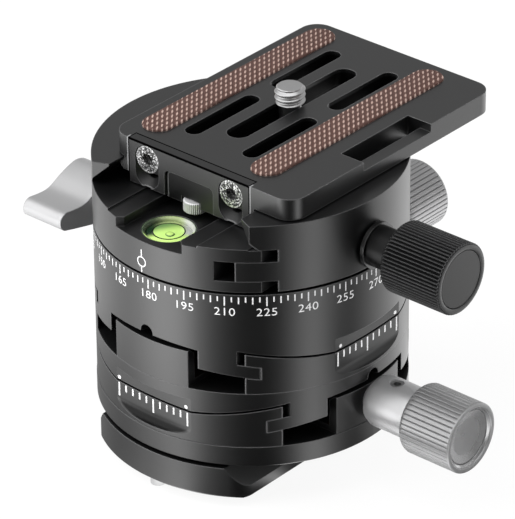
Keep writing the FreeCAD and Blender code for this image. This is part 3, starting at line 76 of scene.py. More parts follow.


# Studio: lamps, world and floor
# A large softbox stands at the left front, a narrow one lights the right edge from behind, and a weak
# one hangs overhead. The paper floor is white to the camera and keeps a faint shadow. The black metal
# mirrors the floor, which glows in bands painted round the head and seen only in reflections: a painted
# reflection that makes the light and dark bands on the metal.

class Wire:
    """One output or value in a shader; sums and products on it add Math nodes."""

    hair = 0.00003

    def __init__(self, finish, socket):
        self.finish = finish
        self.socket = socket

    def maths(self, operation, *values):
        return self.finish.node("ShaderNodeMath", {"operation": operation}, dict(enumerate(values)))

    def __add__(self, other):
        return self.maths("ADD", self, other)

    def __radd__(self, other):
        return self.maths("ADD", other, self)

    def __sub__(self, other):
        return self.maths("SUBTRACT", self, other)

    def __rsub__(self, other):
        return self.maths("SUBTRACT", other, self)

    def __mul__(self, other):
        return self.maths("MULTIPLY", self, other)

    def __rmul__(self, other):
        return self.maths("MULTIPLY", other, self)

    def cosine(self):
        return self.maths("COSINE", self)

    def turn_from(self, other):
        """Angle of (other, self) in radians."""
        return self.maths("ARCTAN2", self, other)

    def size(self):
        return self.maths("ABSOLUTE", self)

    def root(self):
        return self.maths("SQRT", self)

    def most(self, other):
        return self.maths("MAXIMUM", self, other)

    def band(self, middle, half):
        """1 within half of the middle, soft over a hair's breadth."""
        return (self - middle).size().rise(half + self.hair, half - self.hair)

    def rise(self, start, end):
        """0 before start, 1 after end, smooth between; start may be the larger."""
        return self.finish.node("ShaderNodeMapRange", {"interpolation_type": "SMOOTHSTEP", "clamp": True},
                                {"Value": self, "From Min": start, "From Max": end})


class Finish:
    """A material, or the world, that is built up node by node."""

    def __init__(self, name, owner=None):
        self.owner = owner or bpy.data.materials.new(name)
        self.owner.use_nodes = True
        self.tree = self.owner.node_tree
        self.tree.nodes.clear()

    def node(self, kind, settings=None, sockets=None, out=0):
        made = self.tree.nodes.new(kind)
        for key, value in (settings or {}).items():
            if key == "stops":
                ramp = made.color_ramp.elements
                while len(ramp) < len(value):
                    ramp.new(0.5)
                for stop, (place, colour) in zip(ramp, value):
                    stop.position = place
                    stop.color = (*colour, 1) if isinstance(colour, tuple) else (colour, colour, colour, 1)
            else:
                setattr(made, key, value)
        for key, value in (sockets or {}).items():
            socket = made.inputs[key]
            if isinstance(value, Wire):
                self.tree.links.new(value.socket, socket)
            elif socket.type == "RGBA" and len(value) == 3:
                socket.default_value = (*value, 1)
            else:
                socket.default_value = value
        return Wire(self, made.outputs[out]) if made.outputs else None

    def mixed(self, factor, first, second):
        return self.node("ShaderNodeMix", {"data_type": "RGBA"}, {0: factor, 6: first, 7: second}, 2)

    def place(self):
        """The piece's own x, y and z in metres."""
        spot = self.node("ShaderNodeTexCoord", out="Object")
        cut = self.node("ShaderNodeSeparateXYZ", None, {0: spot})
        outputs = cut.socket.node.outputs
        return spot, Wire(self, outputs[0]), Wire(self, outputs[1]), Wire(self, outputs[2])

    def noise(self, spot, scale, detail=2.0, stretch=(1, 1, 1)):
        spread = self.node("ShaderNodeVectorMath", {"operation": "MULTIPLY"}, {0: spot, 1: stretch})
        return self.node("ShaderNodeTexNoise", None, {"Vector": spread, "Scale": scale, "Detail": detail})

    def rounded(self, radius):
        return self.node("ShaderNodeBevel", {"samples": 6}, {"Radius": radius})

    def relief(self, height, depth, normal=None, strength=1.0):
        sockets = {"Height": height, "Distance": depth, "Strength": strength}
        if normal:
            sockets["Normal"] = normal
        return self.node("ShaderNodeBump", None, sockets)

    def surface(self, joint_or_shade=None, **sockets):
        """The shader and its output; where the joint mask is 1, the dark of an open joint or of painted shade
        shows.
        """
        names = {key: key.replace("_", " ").title().replace("Ior", "IOR") for key in sockets}
        shader = self.node("ShaderNodeBsdfPrincipled", None, {names[k]: v for k, v in sockets.items()})
        if joint_or_shade:
            dark = self.node("ShaderNodeBsdfDiffuse", None, {"Color": (0.001, 0.001, 0.001)})
            shader = self.node("ShaderNodeMixShader", None, {0: joint_or_shade, 1: shader, 2: dark})
        self.node("ShaderNodeOutputMaterial", None, {"Surface": shader})
        return self.owner


MIDDLE_Z = 0.035


def lamp(name, place, width, height, watts):
    """A softbox aimed at the middle of the head; only its diffuse light is seen on the metal."""
    light = bpy.data.lights.new(name, "AREA")
    light.shape = "RECTANGLE"
    light.size = width
    light.size_y = height
    light.energy = watts
    stand = bpy.data.objects.new(name, light)
    stand.location = place
    stand.rotation_euler = (Vector((0, 0, MIDDLE_Z)) - Vector(place)).to_track_quat("-Z", "Y").to_euler()
    stand.visible_glossy = False
    scene.collection.objects.link(stand)


def around(azimuth, elevation, distance):
    """A lamp's place: azimuth 0 stands in front (-Y), 90 at the right (+X)."""
    a, e = radians(azimuth), radians(elevation)
    return (distance * sin(a) * cos(e), -distance * cos(a) * cos(e), distance * sin(e) + MIDDLE_Z)


lamp("left_softbox", around(-39, 38, 0.62), 0.5, 0.5, 7.0)
lamp("rim_softbox", around(128, 22, 0.6), 0.16, 0.5, 3.0)
lamp("overhead_softbox", around(20, 82, 0.7), 0.5, 0.5, 2.6)



def rays(finish):
    """Masks of the rays that come straight from the camera, and of those that a surface mirrors."""
    outputs = finish.node("ShaderNodeLightPath").socket.node.outputs
    direct = Wire(finish, outputs["Is Camera Ray"]).most(Wire(finish, outputs["Is Transmission Ray"]))
    return direct, Wire(finish, outputs["Is Glossy Ray"])


WORLD_FILL = 0.35
sky = Finish("world", scene.world or bpy.data.worlds.new("world"))
scene.world = sky.owner
straight, mirrored = rays(sky)
aim = sky.node("ShaderNodeTexCoord", out="Generated")


def towards(azimuth, elevation, start, end):
    """1 in one direction, falling to 0 all round it."""
    there = around(azimuth, elevation, 1)
    way = sky.node("ShaderNodeVectorMath", {"operation": "DOT_PRODUCT"}, {0: aim, 1: there}, 1)
    return way.rise(start, end)


room = 0.46 + 0.8 * towards(-46, 30, 0.62, 0.97) + 0.9 * towards(41, 66, 0.8, 0.97)
room = room - 0.3 * towards(62, 10, 0.3, 0.95)
level = straight.most(mirrored * room).most((1.0 - mirrored) * WORLD_FILL)
background = sky.node("ShaderNodeBackground", None, {"Color": (1, 1, 1), "Strength": level})
sky.node("ShaderNodeOutputWorld", None, {"Surface": background})

FLOOR_Z = -0.002
FLOOR_HALF = 3
floor_corners = [(a * FLOOR_HALF, b * FLOOR_HALF, FLOOR_Z) for a, b in ((-1, -1), (1, -1), (1, 1), (-1, 1))]
floor_mesh = bpy.data.meshes.new("floor")
floor_mesh.from_pydata(floor_corners, [], [(0, 1, 2, 3)])
floor = bpy.data.objects.new("floor", floor_mesh)
scene.collection.objects.link(floor)
paper = Finish("floor_paper")
straight, mirrored = rays(paper)
spot, x, y, z = paper.place()

# The floor's painted glow, seen only in reflections, by azimuth, set for this view: 0 stands in front, 90 at
# the right.

GLOW_CENTRE_X = 0.0105
GLOW_CENTRE_Y = -0.0121
GLOW_PEAK = 4
REFLECTED_GLOW_BANDS = [(-180, 1.5), (-160, 0.9), (-110, 1.0), (-96, 1.2), (-79, 1.38), (-54, 1.25), (-44, 1.75),
         (-34, 2.7), (-25, 3.3), (-17, 3.5), (-8, 2.8), (0, 1.3), (7, 0.6), (15, 0.32), (29, 0.06),
         (44, 0.01), (52, 0.01), (59, 0.03), (66, 0.22), (74, 1.0), (82, 2.1), (88, 2.0), (97, 0.8),
         (106, 0.25), (115, 0.1), (124, 0.5), (134, 1.0), (158, 1.6), (172, 1.8), (180, 1.5)]
round_about = (x - GLOW_CENTRE_X).turn_from(GLOW_CENTRE_Y - y) * (1 / (2 * pi)) + 0.5
stops = [(azimuth / 360 + 0.5, bright / GLOW_PEAK) for azimuth, bright in REFLECTED_GLOW_BANDS]
painted_glow = paper.node("ShaderNodeValToRGB", {"stops": stops}, {0: round_about})
# Painted shade: the floor's reflected glow is dimmed close to the head at the left.
painted_shade_near_left = (x * x + y * y).root().rise(0.085, 0.05) * round_about.rise(0.535, 0.41)
painted_glow = painted_glow * (1.0 - 0.63 * painted_shade_near_left)
seen = 0.92 * straight + 0.985 * mirrored
matte = paper.node("ShaderNodeBsdfDiffuse", None, {"Color": (0.8, 0.8, 0.8)})
# Painted reflection: in mirrored rays the floor glows with the painted bands.
bright = straight + mirrored * GLOW_PEAK * painted_glow
glow = paper.node("ShaderNodeEmission", None, {"Color": (1, 1, 1), "Strength": bright})
paper.node("ShaderNodeOutputMaterial", None, {
    "Surface": paper.node("ShaderNodeMixShader", None, {0: seen, 1: matte, 2: glow})})
floor_mesh.materials.append(paper.owner)


# Foot and base disc
# The foot is turned aluminium with a dovetail milled on two sides, black satin anodised like the whole
# body; the base disc sits on its neck. Steel socket screws and one small stop screw hold it from below.

EDGE_HIGHLIGHT_DEPTH = 0.00032


def black_satin(name, tone=0.0026, roughness=0.33, turned_lines=0.35, edge=0.00022, ior=1.8,
                joints=None, glint=None, edge_highlight_share=0.35):
    """Bead-blasted, black anodised aluminium with a soft sheen; its edges are lightened with a painted
    highlight.

    The joint mask and glint take the finish, x, y and z and give the dark joints, painted shade and painted
    highlight lines on a piece.
    """
    finish = Finish(name)
    spot, x, y, z = finish.place()
    cloud = finish.noise(spot, 55.0, 3.0)
    grain = finish.noise(spot, 5200.0, 1.0)
    lines = finish.noise(spot, 1.0, 0.0, (150.0, 150.0, 5200.0))
    rim = finish.node("ShaderNodeAmbientOcclusion", {"inside": True, "only_local": True, "samples": 6},
                      {"Distance": EDGE_HIGHLIGHT_DEPTH}, "AO")
    # Painted highlight: convex edges are made lighter, as if they catch the light.
    painted_edge_highlight = (1.0 - rim).rise(0.22, 0.5) * edge_highlight_share
    dark = (tone * 0.9, tone * 0.93, tone)
    light = (tone * 1.25, tone * 1.27, tone * 1.3)
    edge_highlight_colour = (0.2, 0.2, 0.205)
    if glint:
        painted_edge_highlight = painted_edge_highlight.most(glint(finish, x, y, z))
    colour = finish.mixed(painted_edge_highlight, finish.mixed(cloud, dark, light), edge_highlight_colour)
    normal = finish.relief(grain + turned_lines * lines, 0.000006, finish.rounded(edge), 0.5)
    return finish.surface(joints and joints(finish, x, y, z), base_color=colour,
                          roughness=roughness + 0.07 * cloud, normal=normal, ior=ior)


def bright_steel(name, tone=0.62, roughness=0.24, edge=0.0001, metal=1.0):
    """Plain turned steel with fine marks."""
    finish = Finish(name)
    spot, x, y, z = finish.place()
    cloud = finish.noise(spot, 300.0, 3.0)
    marks = finish.noise(spot, 4000.0, 1.0)
    colour = finish.mixed(cloud, (tone * 0.85,) * 3, (tone, tone, tone * 1.01))
    normal = finish.relief(marks, 0.000008, finish.rounded(edge), 0.5)
    return finish.surface(base_color=colour, metallic=metal, roughness=roughness + 0.12 * cloud,
                          normal=normal)


def wear(finish, *names):
    """The named CAD nodes get this material in all their slots."""
    for name in names:
        mesh = nodes[name].data
        if not mesh.materials:
            mesh.materials.append(finish)
        for i in range(len(mesh.materials)):
            mesh.materials[i] = finish


satin = black_satin("body_black")
steel = bright_steel("plain_steel")
wear(satin, "foot_plate", "base_disc")
wear(steel, "foot_screws", "foot_stop_screw")


# Lower tilt stage
# Two half-moon rails hold the rocking cradle in T slots; a worm in two lugs drives a toothed bronze
# sector under it. The near rail's flat carries a printed tilt scale, and the cradle two white dots.

def bronze_finish(name):
    finish = Finish(name)
    spot, x, y, z = finish.place()
    cloud = finish.noise(spot, 220.0, 4.0)
    colour = finish.mixed(cloud, (0.42, 0.26, 0.09), (0.62, 0.42, 0.17))
    normal = finish.relief(finish.noise(spot, 2500.0, 1.0), 0.00001, finish.rounded(0.0001), 0.5)
    return finish.surface(base_color=colour, metallic=1.0, roughness=0.3 + 0.15 * cloud, normal=normal)


bronze = bronze_finish("bronze")


def scale_shade(finish, x, y, z):
    """Shade in the hollow under the tilt scale's flat."""
    sunk = (x * x + y * y).root().rise(0.03185, 0.03165)
    return 0.7 * z.rise(0.0154, 0.0138) * x.size().rise(0.0104, 0.0094) * sunk


wear(black_satin("near_rail_black", joints=scale_shade), "lower_rail_near")
wear(satin, "lower_rail_far", "lower_worm_bracket", "lower_cradle")
wear(steel, "lower_rail_screws", "lower_bracket_screws", "lower_sector_screws", "lower_worm_shaft")
wear(steel, "lower_worm_bushes")
wear(bronze, "lower_sector")

# White marks are printed into the anodised surface, flush to the touch.

MARK_PROUD = 0.000015
MARK_ROWS = 6
DOT_STEPS = 24


def white_print(name):
    finish = Finish(name)
    spot, x, y, z = finish.place()
    speck = finish.noise(spot, 3000.0, 2.0)
    return finish.surface(base_color=finish.mixed(speck, (0.62, 0.62, 0.63), (0.86, 0.86, 0.86)),
                          roughness=0.5 + 0.1 * speck)


print_white = white_print("white_print")


def make_piece(name, points, faces, finish, body, sharp=35):
    """A mesh piece with smooth faces and hard edges over the given angle, riding on its body."""
    mesh = bpy.data.meshes.new(name)
    mesh.from_pydata([tuple(p) for p in points], [], faces)
    tidy = bmesh.new()
    tidy.from_mesh(mesh)
    bmesh.ops.remove_doubles(tidy, verts=tidy.verts, dist=1e-8)
    bmesh.ops.recalc_face_normals(tidy, faces=tidy.faces)
    tidy.to_mesh(mesh)
    tidy.free()
    mesh.shade_smooth()
    mesh.set_sharp_from_angle(angle=radians(sharp))
    mesh.materials.append(finish)
    piece = bpy.data.objects.new(name, mesh)
    scene.collection.objects.link(piece)
    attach(piece, body)
    return piece


def print_marks(name, marks, lay, body):
    """Rectangles (u0, u1, v0, v1) and discs (u, v, r) laid on a surface by lay(u, v)."""
    points, faces = [], []
    for mark in marks:
        first = len(points)
        if len(mark) == 4:
            u0, u1, v0, v1 = mark
            for i in range(MARK_ROWS + 1):
                v = v0 + (v1 - v0) * i / MARK_ROWS
                points += [lay(u0, v), lay(u1, v)]
            for k in range(first, first + 2 * MARK_ROWS, 2):
                faces.append((k, k + 1, k + 3, k + 2))
        else:
            u, v, r = mark
            turns = [2 * pi * k / DOT_STEPS for k in range(DOT_STEPS)]
            points += [lay(u + r * cos(a), v + r * sin(a)) for a in turns]
            faces.append(tuple(range(first, first + DOT_STEPS)))
    return make_piece(name, points, faces, print_white, body)


SCALE_FLAT = 0.0304
SCALE_SHIFT = 0.0001
TILT_PITCH = 0.001835
TILT_TICK_HALF = 0.0002
TILT_TICKS = 5
LONG_TICK = 0.0032
SHORT_TICK = 0.0016
DOT_R = 0.00042


def seam_height(u, end_z, middle_z):
    """Height of the tick tops along the seam's shallow arc."""
    return middle_z + (end_z - middle_z) * (u / (TILT_TICKS * TILT_PITCH)) ** 2


def tilt_ticks(end_z, middle_z):
    """Five ticks each way from a long one; the last on each side is long too."""
    marks = []
    for k in range(-TILT_TICKS, TILT_TICKS + 1):
        u = k * TILT_PITCH
        top = seam_height(u, end_z, middle_z)
        length = LONG_TICK if k % TILT_TICKS == 0 else SHORT_TICK
        marks.append((u - TILT_TICK_HALF, u + TILT_TICK_HALF, top - length, top))
    return marks


LOWER_SCALE_Y = -(SCALE_FLAT + MARK_PROUD)
print_marks("lower_tilt_scale", tilt_ticks(end_z=0.0185, middle_z=0.0180),
            lambda u, v: (u - SCALE_SHIFT, LOWER_SCALE_Y, v), "base")
print_marks("lower_tilt_dots", [(-0.00916, 0.0197, DOT_R), (0.00876, 0.0197, DOT_R)],
            lambda u, v: (u, LOWER_SCALE_Y, v), "lower_cradle")


# Upper tilt stage
# The same stage again, turned a quarter round. Its right rail carries the second tilt scale, which
# shows at the right of the photograph.

def pan_joint(finish, x, y, z):
    """The dark joint between the drum and the clamp that turns on it."""
    return z.band(PAN_SEAM_Z, 0.00014)


wear(satin, "upper_rail_right", "upper_rail_left", "upper_worm_bracket")
wear(black_satin("drum_black", joints=pan_joint), "scale_ring")
wear(steel, "upper_rail_screws", "upper_bracket_screws", "upper_sector_screws", "upper_worm_shaft")
wear(steel, "upper_worm_bushes")
wear(bronze, "upper_sector", "pan_liner", "lock_shoe")

UPPER_SCALE_X = SCALE_FLAT + MARK_PROUD
print_marks("upper_tilt_scale", tilt_ticks(end_z=0.0309, middle_z=0.0304),
            lambda u, v: (UPPER_SCALE_X, u + SCALE_SHIFT, v), "lower_cradle")
print_marks("upper_tilt_dots", [(-0.0083, 0.0321, DOT_R), (0.0088, 0.0321, DOT_R)],
            lambda u, v: (UPPER_SCALE_X, u, v), "upper_cradle")


# Tilt knobs
# Two turned aluminium knobs, silver anodised: broad ribs with narrow grooves between them, a smooth rim
# round a dished end, and a plain neck that a small socket set screw pins to the worm shaft.

KNOB_RIBS = 44
RIB_SAMPLES = 12
GROOVE_DEPTH = 0.00033
GROOVE_SHARE = 0.27
RIB_CROWN = 0.00005
RIB_START = 0.04425
RIB_END = 0.0566
GRIP_END = 0.0570
GRIP_INNER_R = 0.0066
KNOB_OUTLINE = [(0.0442, 0.0), (0.0442, 0.0055), (0.0442, 0.0064), (0.04425, 0.0066), (0.0444, 0.00691),
                (0.0446, 0.00713), (0.0449, 0.00734), (0.0453, 0.0075), (0.0465, 0.0075), (0.0480, 0.0075),
                (0.0540, 0.0075), (0.0561, 0.0075), (0.0566, 0.0075), (0.05675, 0.0075), (0.0569, 0.0075),
                (0.05703, 0.00747), (0.05714, 0.00739), (0.0572, 0.00725), (0.0572, 0.0068),
                (0.05718, 0.00662), (0.0571, 0.00652), (0.0569, 0.00643), (0.0565, 0.0062), (0.0549, 0.0)]
CUP_OUTLINE = [(0.0550, 0.0), (0.05502, 0.0012), (0.0551, 0.0024), (0.0554, 0.0037), (0.0560, 0.0051),
               (0.05675, 0.0063), (0.0569, 0.00645), (0.0566, 0.0064), (0.0549, 0.0003), (0.0549, 0.0)]
LOWER_AXIS_Z = 0.01724
UPPER_AXIS_Z = 0.02964
UPPER_KNOB_SHIFT = 0.0024


def spun(name, outline, steps, put, finish, body, change=None, sharp=35):
    """Turns (along, radius) points about an axis; change(along, radius, angle) may move the radius."""
    points, rings = [], []
    for along, radius in outline:
        if radius == 0:
            rings.append([len(points)])
            points.append(put(along, 0.0, 0.0))
            continue
        rings.append(list(range(len(points), len(points) + steps)))
        for k in range(steps):
            a = 2 * pi * k / steps
            r = change(along, radius, a) if change else radius
            points.append(put(along, r * cos(a), r * sin(a)))
    faces = []
    for first, second in zip(rings, rings[1:]):
        for k in range(steps):
            n = (k + 1) % steps
            if len(first) == 1:
                faces.append((first[0], second[k], second[n]))
            elif len(second) == 1:
                faces.append((first[k], second[0], first[n]))
            else:
                faces.append((first[k], second[k], second[n], first[n]))
    return make_piece(name, points, faces, finish, body, sharp)


def smooth(t):
    """0 up to 0, 1 from 1, and an even S between."""
    t = min(max(t, 0.0), 1.0)
    return t * t * (3 - 2 * t)


def silver_rib(along, radius, angle):
    """Broad rounded rib tops with a narrow V groove between each two."""
    share = (angle * KNOB_RIBS / (2 * pi)) % 1.0
    off = min(share, 1 - share) / (GROOVE_SHARE / 2)
    groove = GROOVE_DEPTH * max(0.0, 1 - off)
    crown = RIB_CROWN * ((share - 0.5) * 2) ** 2
    shown = smooth((along - RIB_START) / 0.0007) * (1 - smooth((along - RIB_END) / 0.00025))
    on_grip = radius > GRIP_INNER_R and along < GRIP_END
    return radius - (groove + crown) * shown if on_grip else radius


def satin_silver(name, tone=0.68, roughness=0.4, lines_along=None, edge=0.00012):
    """Silver anodised aluminium; fine turning lines run round the given axis."""
    finish = Finish(name)
    spot, x, y, z = finish.place()
    cloud = finish.noise(spot, 160.0, 3.0)
    grain = finish.noise(spot, 4200.0, 1.0)
    stretch = {"x": (6000.0, 250.0, 250.0), "y": (250.0, 6000.0, 250.0)}
    height = grain
    if lines_along:
        height = 0.4 * grain + finish.noise(spot, 1.0, 0.0, stretch[lines_along])
    colour = finish.mixed(cloud, (tone * 0.93, tone * 0.93, tone * 0.94), (tone, tone, tone * 1.01))
    normal = finish.relief(height, 0.00001, finish.rounded(edge), 0.45)
    return finish.surface(base_color=colour, metallic=0.85, roughness=roughness + 0.08 * cloud, normal=normal)


knob_silver = {"lower": satin_silver("knob_silver_x", 0.44, lines_along="x"),
               "upper": satin_silver("knob_silver_y", 0.44, lines_along="y")}
neck_silver = {"lower": satin_silver("neck_silver_x", lines_along="x"),
               "upper": satin_silver("neck_silver_y", lines_along="y")}
cup_silver = satin_silver("cup_silver", 0.5, 0.2)


def lower_place(along, across, over):
    """The lower knob's axis runs along +X."""
    return (along, across, LOWER_AXIS_Z + over)


def upper_place(along, across, over):
    """The upper knob's axis runs along +Y, at the rear."""
    return (-across, along, UPPER_AXIS_Z + over)


NECK_OUTLINE = [(0.0334, 0.0), (0.0334, 0.0047), (0.03345, 0.0049), (0.0348, 0.0055), (0.0436, 0.0055),
                (0.0438, 0.00545), (0.0442, 0.0054), (0.0442, 0.0)]
SET_SCREW_ALONG = 0.0382
SET_SCREW_R = 0.0015
SET_SCREW_LOW = 0.0020
SET_SCREW_HIGH = 0.0062
NECK_END = 0.0442


def drill(piece, cutter_points, cutter_faces):
    """Cuts a closed shape out of a piece for good."""
    mesh = bpy.data.meshes.new("cutter")
    mesh.from_pydata(cutter_points, [], cutter_faces)
    tidy = bmesh.new()
    tidy.from_mesh(mesh)
    bmesh.ops.recalc_face_normals(tidy, faces=tidy.faces)
    tidy.to_mesh(mesh)
    tidy.free()
    cutter = bpy.data.objects.new("cutter", mesh)
    scene.collection.objects.link(cutter)
    cut = piece.modifiers.new("hole", "BOOLEAN")
    cut.operation = "DIFFERENCE"
    cut.object = cutter
    cut.solver = "EXACT"
    bpy.context.view_layer.update()
    solid = bpy.data.meshes.new_from_object(piece.evaluated_get(bpy.context.evaluated_depsgraph_get()))
    piece.modifiers.clear()
    piece.data = solid
    bpy.data.objects.remove(cutter)
    solid.shade_smooth()
    solid.set_sharp_from_angle(angle=radians(35))


def tube_points(radius, low, high, put, steps=32):
    """A closed tube for the set screw's hole, square to the knob's axis."""
    turns = [2 * pi * k / steps for k in range(steps)]
    points = [put(SET_SCREW_ALONG + radius * cos(a), radius * sin(a), h) for h in (low, high) for a in turns]
    faces = [(k, (k + 1) % steps, steps + (k + 1) % steps, steps + k) for k in range(steps)]
    faces += [tuple(range(steps)), tuple(range(steps, 2 * steps))]
    return points, faces


for stage, put, shift in (("lower", lower_place, 0.0), ("upper", upper_place, UPPER_KNOB_SHIFT)):
    body = stage + "_knob"
    outline = [(a - shift, r) for a, r in KNOB_OUTLINE]
    knob = spun(stage + "_ribbed_knob", outline, KNOB_RIBS * RIB_SAMPLES, put, knob_silver[stage], body,
                lambda along, r, a, s=shift: silver_rib(along + s, r, a), sharp=28)
    neck = spun(stage + "_knob_neck", [(min(a, NECK_END - shift), r) for a, r in NECK_OUTLINE], 160, put,
                neck_silver[stage], body)
    cup = spun(stage + "_knob_cup", [(a - shift, r) for a, r in CUP_OUTLINE], 96, put, cup_silver, body,
               sharp=50)
    drill(neck, *tube_points(SET_SCREW_R, SET_SCREW_LOW, SET_SCREW_HIGH, put))
    for piece in (knob, neck, cup):
        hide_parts(stage + "_tilt_knob")
wear(bright_steel("set_screw_steel", 0.5, 0.3), "lower_knob_set_screw", "upper_knob_set_screw")


# Degree scale of the panning base
# White ticks every 2.5 degrees and plain numerals every 15 are printed round the drum that the clamp
# turns on. They are laid on the round wall as thin flush pieces.

BODY_R = 0.032
DRUM_R = BODY_R + MARK_PROUD
SCALE_TURN = radians(1.3)
TICK_DEGREES = 2.5
NUMERAL_DEGREES = 15
TICK_HALF = 0.00014
TICK_TOP = -0.00075
NUMERAL_TICK_LOW = -0.0028
FIVE_TICK_LOW = -0.0023
HALF_TICK_LOW = -0.0019
NUMERAL_FOOT = -0.0050
NUMERAL_HEIGHT = 0.00175
NUMERAL_WIDEN = 1.1
FONT_CAP_HEIGHT = 0.7
NUMERAL_CUT = 0.12


def on_drum(u, v):
    """u runs along the drum's surface towards higher readings, v is the height from the pan seam."""
    a = u / BODY_R
    return (DRUM_R * sin(a), -DRUM_R * cos(a), PAN_SEAM_Z + v)


def reading_at(degree):
    """Where a reading stands along the drum's surface; 180 is near the front."""
    return (radians(degree) - pi + SCALE_TURN) * BODY_R


drum_marks = []
for step in range(int(360 / TICK_DEGREES)):
    u = reading_at(step * TICK_DEGREES)
    low = NUMERAL_TICK_LOW if step % 6 == 0 else FIVE_TICK_LOW if step % 2 == 0 else HALF_TICK_LOW
    drum_marks.append((u - TICK_HALF, u + TICK_HALF, low, TICK_TOP))
print_marks("degree_ticks", drum_marks, on_drum, "upper_cradle")

numeral_points, numeral_faces = [], []
for reading in range(0, 360, NUMERAL_DEGREES):
    words = bpy.data.curves.new("numeral", "FONT")
    words.body = str(reading)
    words.size = 1.0
    words.align_x = "CENTER"
    words.space_character = 1.08
    holder = bpy.data.objects.new("numeral", words)
    scene.collection.objects.link(holder)
    bpy.context.view_layer.update()
    flat = bpy.data.meshes.new_from_object(holder.evaluated_get(bpy.context.evaluated_depsgraph_get()))
    bpy.data.objects.remove(holder)
    cut = bmesh.new()
    cut.from_mesh(flat)
    for k in range(-12, 13):
        bmesh.ops.bisect_plane(cut, geom=cut.verts[:] + cut.edges[:] + cut.faces[:],
                               plane_co=(k * NUMERAL_CUT, 0, 0), plane_no=(1, 0, 0))
    cut.to_mesh(flat)
    cut.free()
    middle = reading_at(reading)
    grow = NUMERAL_HEIGHT / FONT_CAP_HEIGHT
    first = len(numeral_points)
    numeral_points += [on_drum(middle + v.co.x * grow * NUMERAL_WIDEN, NUMERAL_FOOT + v.co.y * grow)
                       for v in flat.vertices]
    numeral_faces += [tuple(first + i for i in p.vertices) for p in flat.polygons]
make_piece("degree_numerals", numeral_points, numeral_faces, print_white, "upper_cradle")


# Pan lock lever
# A cast and polished silver lever with one wing turns a steel screw that presses a shoe into the
# spindle's groove.

wear(satin_silver("lever_silver", 0.6, 0.38, edge=0.0004), "pan_lock_lever")
wear(steel, "pan_lock_screw", "pan_spindle", "spindle_screws")


# Clamp body and movable jaw
# The body is milled from round bar with a fixed undercut lip; the jaw slides on two steel pins. Both
# are black satin. A printed index line with a ring points at the degree scale.

wear(black_satin("clamp_black", joints=pan_joint, edge_highlight_share=0.2), "clamp_body", "movable_jaw")
wear(steel, "jaw_guide_pins", "clamp_screw")

INDEX_ANGLE = radians(-1.6)
INDEX_HALF = 0.00014
INDEX_LOW = 0.0004
INDEX_HIGH = 0.0055
RING_R = 0.00105
RING_HALF = 0.00013
RING_V = 0.00275
RING_STEPS = 48


def on_clamp(u, v):
    """u runs along the clamp's round wall from the index line, v is the height from the pan seam."""
    a = INDEX_ANGLE + u / BODY_R
    return (DRUM_R * sin(a), -DRUM_R * cos(a), PAN_SEAM_Z + v)


index_points, index_faces = [], []
for k in range(RING_STEPS):
    a = 2 * pi * k / RING_STEPS
    for r in (RING_R - RING_HALF, RING_R + RING_HALF):
        index_points.append(on_clamp(r * cos(a), RING_V + r * sin(a)))
    n = (k + 1) % RING_STEPS
    index_faces.append((2 * k, 2 * k + 1, 2 * n + 1, 2 * n))
for low, high in ((INDEX_LOW, RING_V - RING_R), (RING_V + RING_R, INDEX_HIGH)):
    first = len(index_points)
    for v in (low, (low + high) / 2, high):
        index_points += [on_clamp(-INDEX_HALF, v), on_clamp(INDEX_HALF, v)]
    index_faces += [(first, first + 1, first + 3, first + 2), (first + 2, first + 3, first + 5, first + 4)]
make_piece("index_mark", index_points, index_faces, print_white, "clamp")


# Bubble level
# A round acrylic vial of green spirit in a bored seat in the body's near end, with a black centring
# circle on it and a bubble that has run a little to one side.

LEVEL_Y = -0.0248
LEVEL_TOP = 0.0548
CIRCLE_R = 0.00322


def level_place(along, across, over):
    """The level's axis stands upright in the body's near end."""
    return (across, LEVEL_Y + over, along)


def level_tint(finish, x, off):
    """Painted light and shade on the green spirit and clear acrylic: bright at the front right, dark at the
    left, grey at the right rear.
    """
    along = 0.754 * x + 0.657 * off
    near = 0.657 * x - 0.754 * off
    far_side = finish.mixed(along.rise(-0.0036, 0.0002), (0.008, 0.022, 0.010), (0.23, 0.29, 0.12))
    far_side = finish.mixed(along.rise(0.0022, 0.0040), far_side, (0.34, 0.35, 0.33))
    return finish.mixed(near.rise(0.0006, 0.0026), far_side, (0.42, 0.60, 0.17)), along, near


def spirit_green():
    finish = Finish("spirit_green")
    spot, x, y, z = finish.place()
    off = y - LEVEL_Y
    out = (x * x + off * off).root()
    outer, along, near = level_tint(finish, x, off)
    cloud = finish.noise(spot, 500.0, 2.0)
    # Painted light and shade: the spirit is dark green at the left and light green at the front right.
    lit = (near + 0.35 * along).rise(-0.0030, 0.0006)
    green = finish.mixed(lit, (0.045, 0.12, 0.045), (0.40, 0.60, 0.16))
    green = finish.mixed(0.25 * cloud, green, (0.50, 0.72, 0.20))
    colour = finish.mixed(out.rise(0.00318, 0.00326), green, outer)
    colour = finish.mixed(out.band(CIRCLE_R, 0.00015), colour, (0.006, 0.010, 0.005))
    return finish.surface(base_color=colour, roughness=0.16 + 0.04 * cloud, coat_weight=0.5,
                          coat_roughness=0.05, ior=1.49)


def clear_rim():
    finish = Finish("acrylic_rim")
    spot, x, y, z = finish.place()
    off = y - LEVEL_Y
    out = (x * x + off * off).root()
    cloud = finish.noise(spot, 900.0, 2.0)
    # The rim takes the same painted light and shade.
    colour, along, near = level_tint(finish, x, off)
    colour = finish.mixed(out.rise(0.00520, 0.00535), colour, (0.03, 0.06, 0.03))
    return finish.surface(base_color=finish.mixed(0.2 * cloud, colour, (0.4, 0.45, 0.3)),
                          roughness=0.18 + 0.08 * cloud, ior=1.49, coat_weight=0.4)


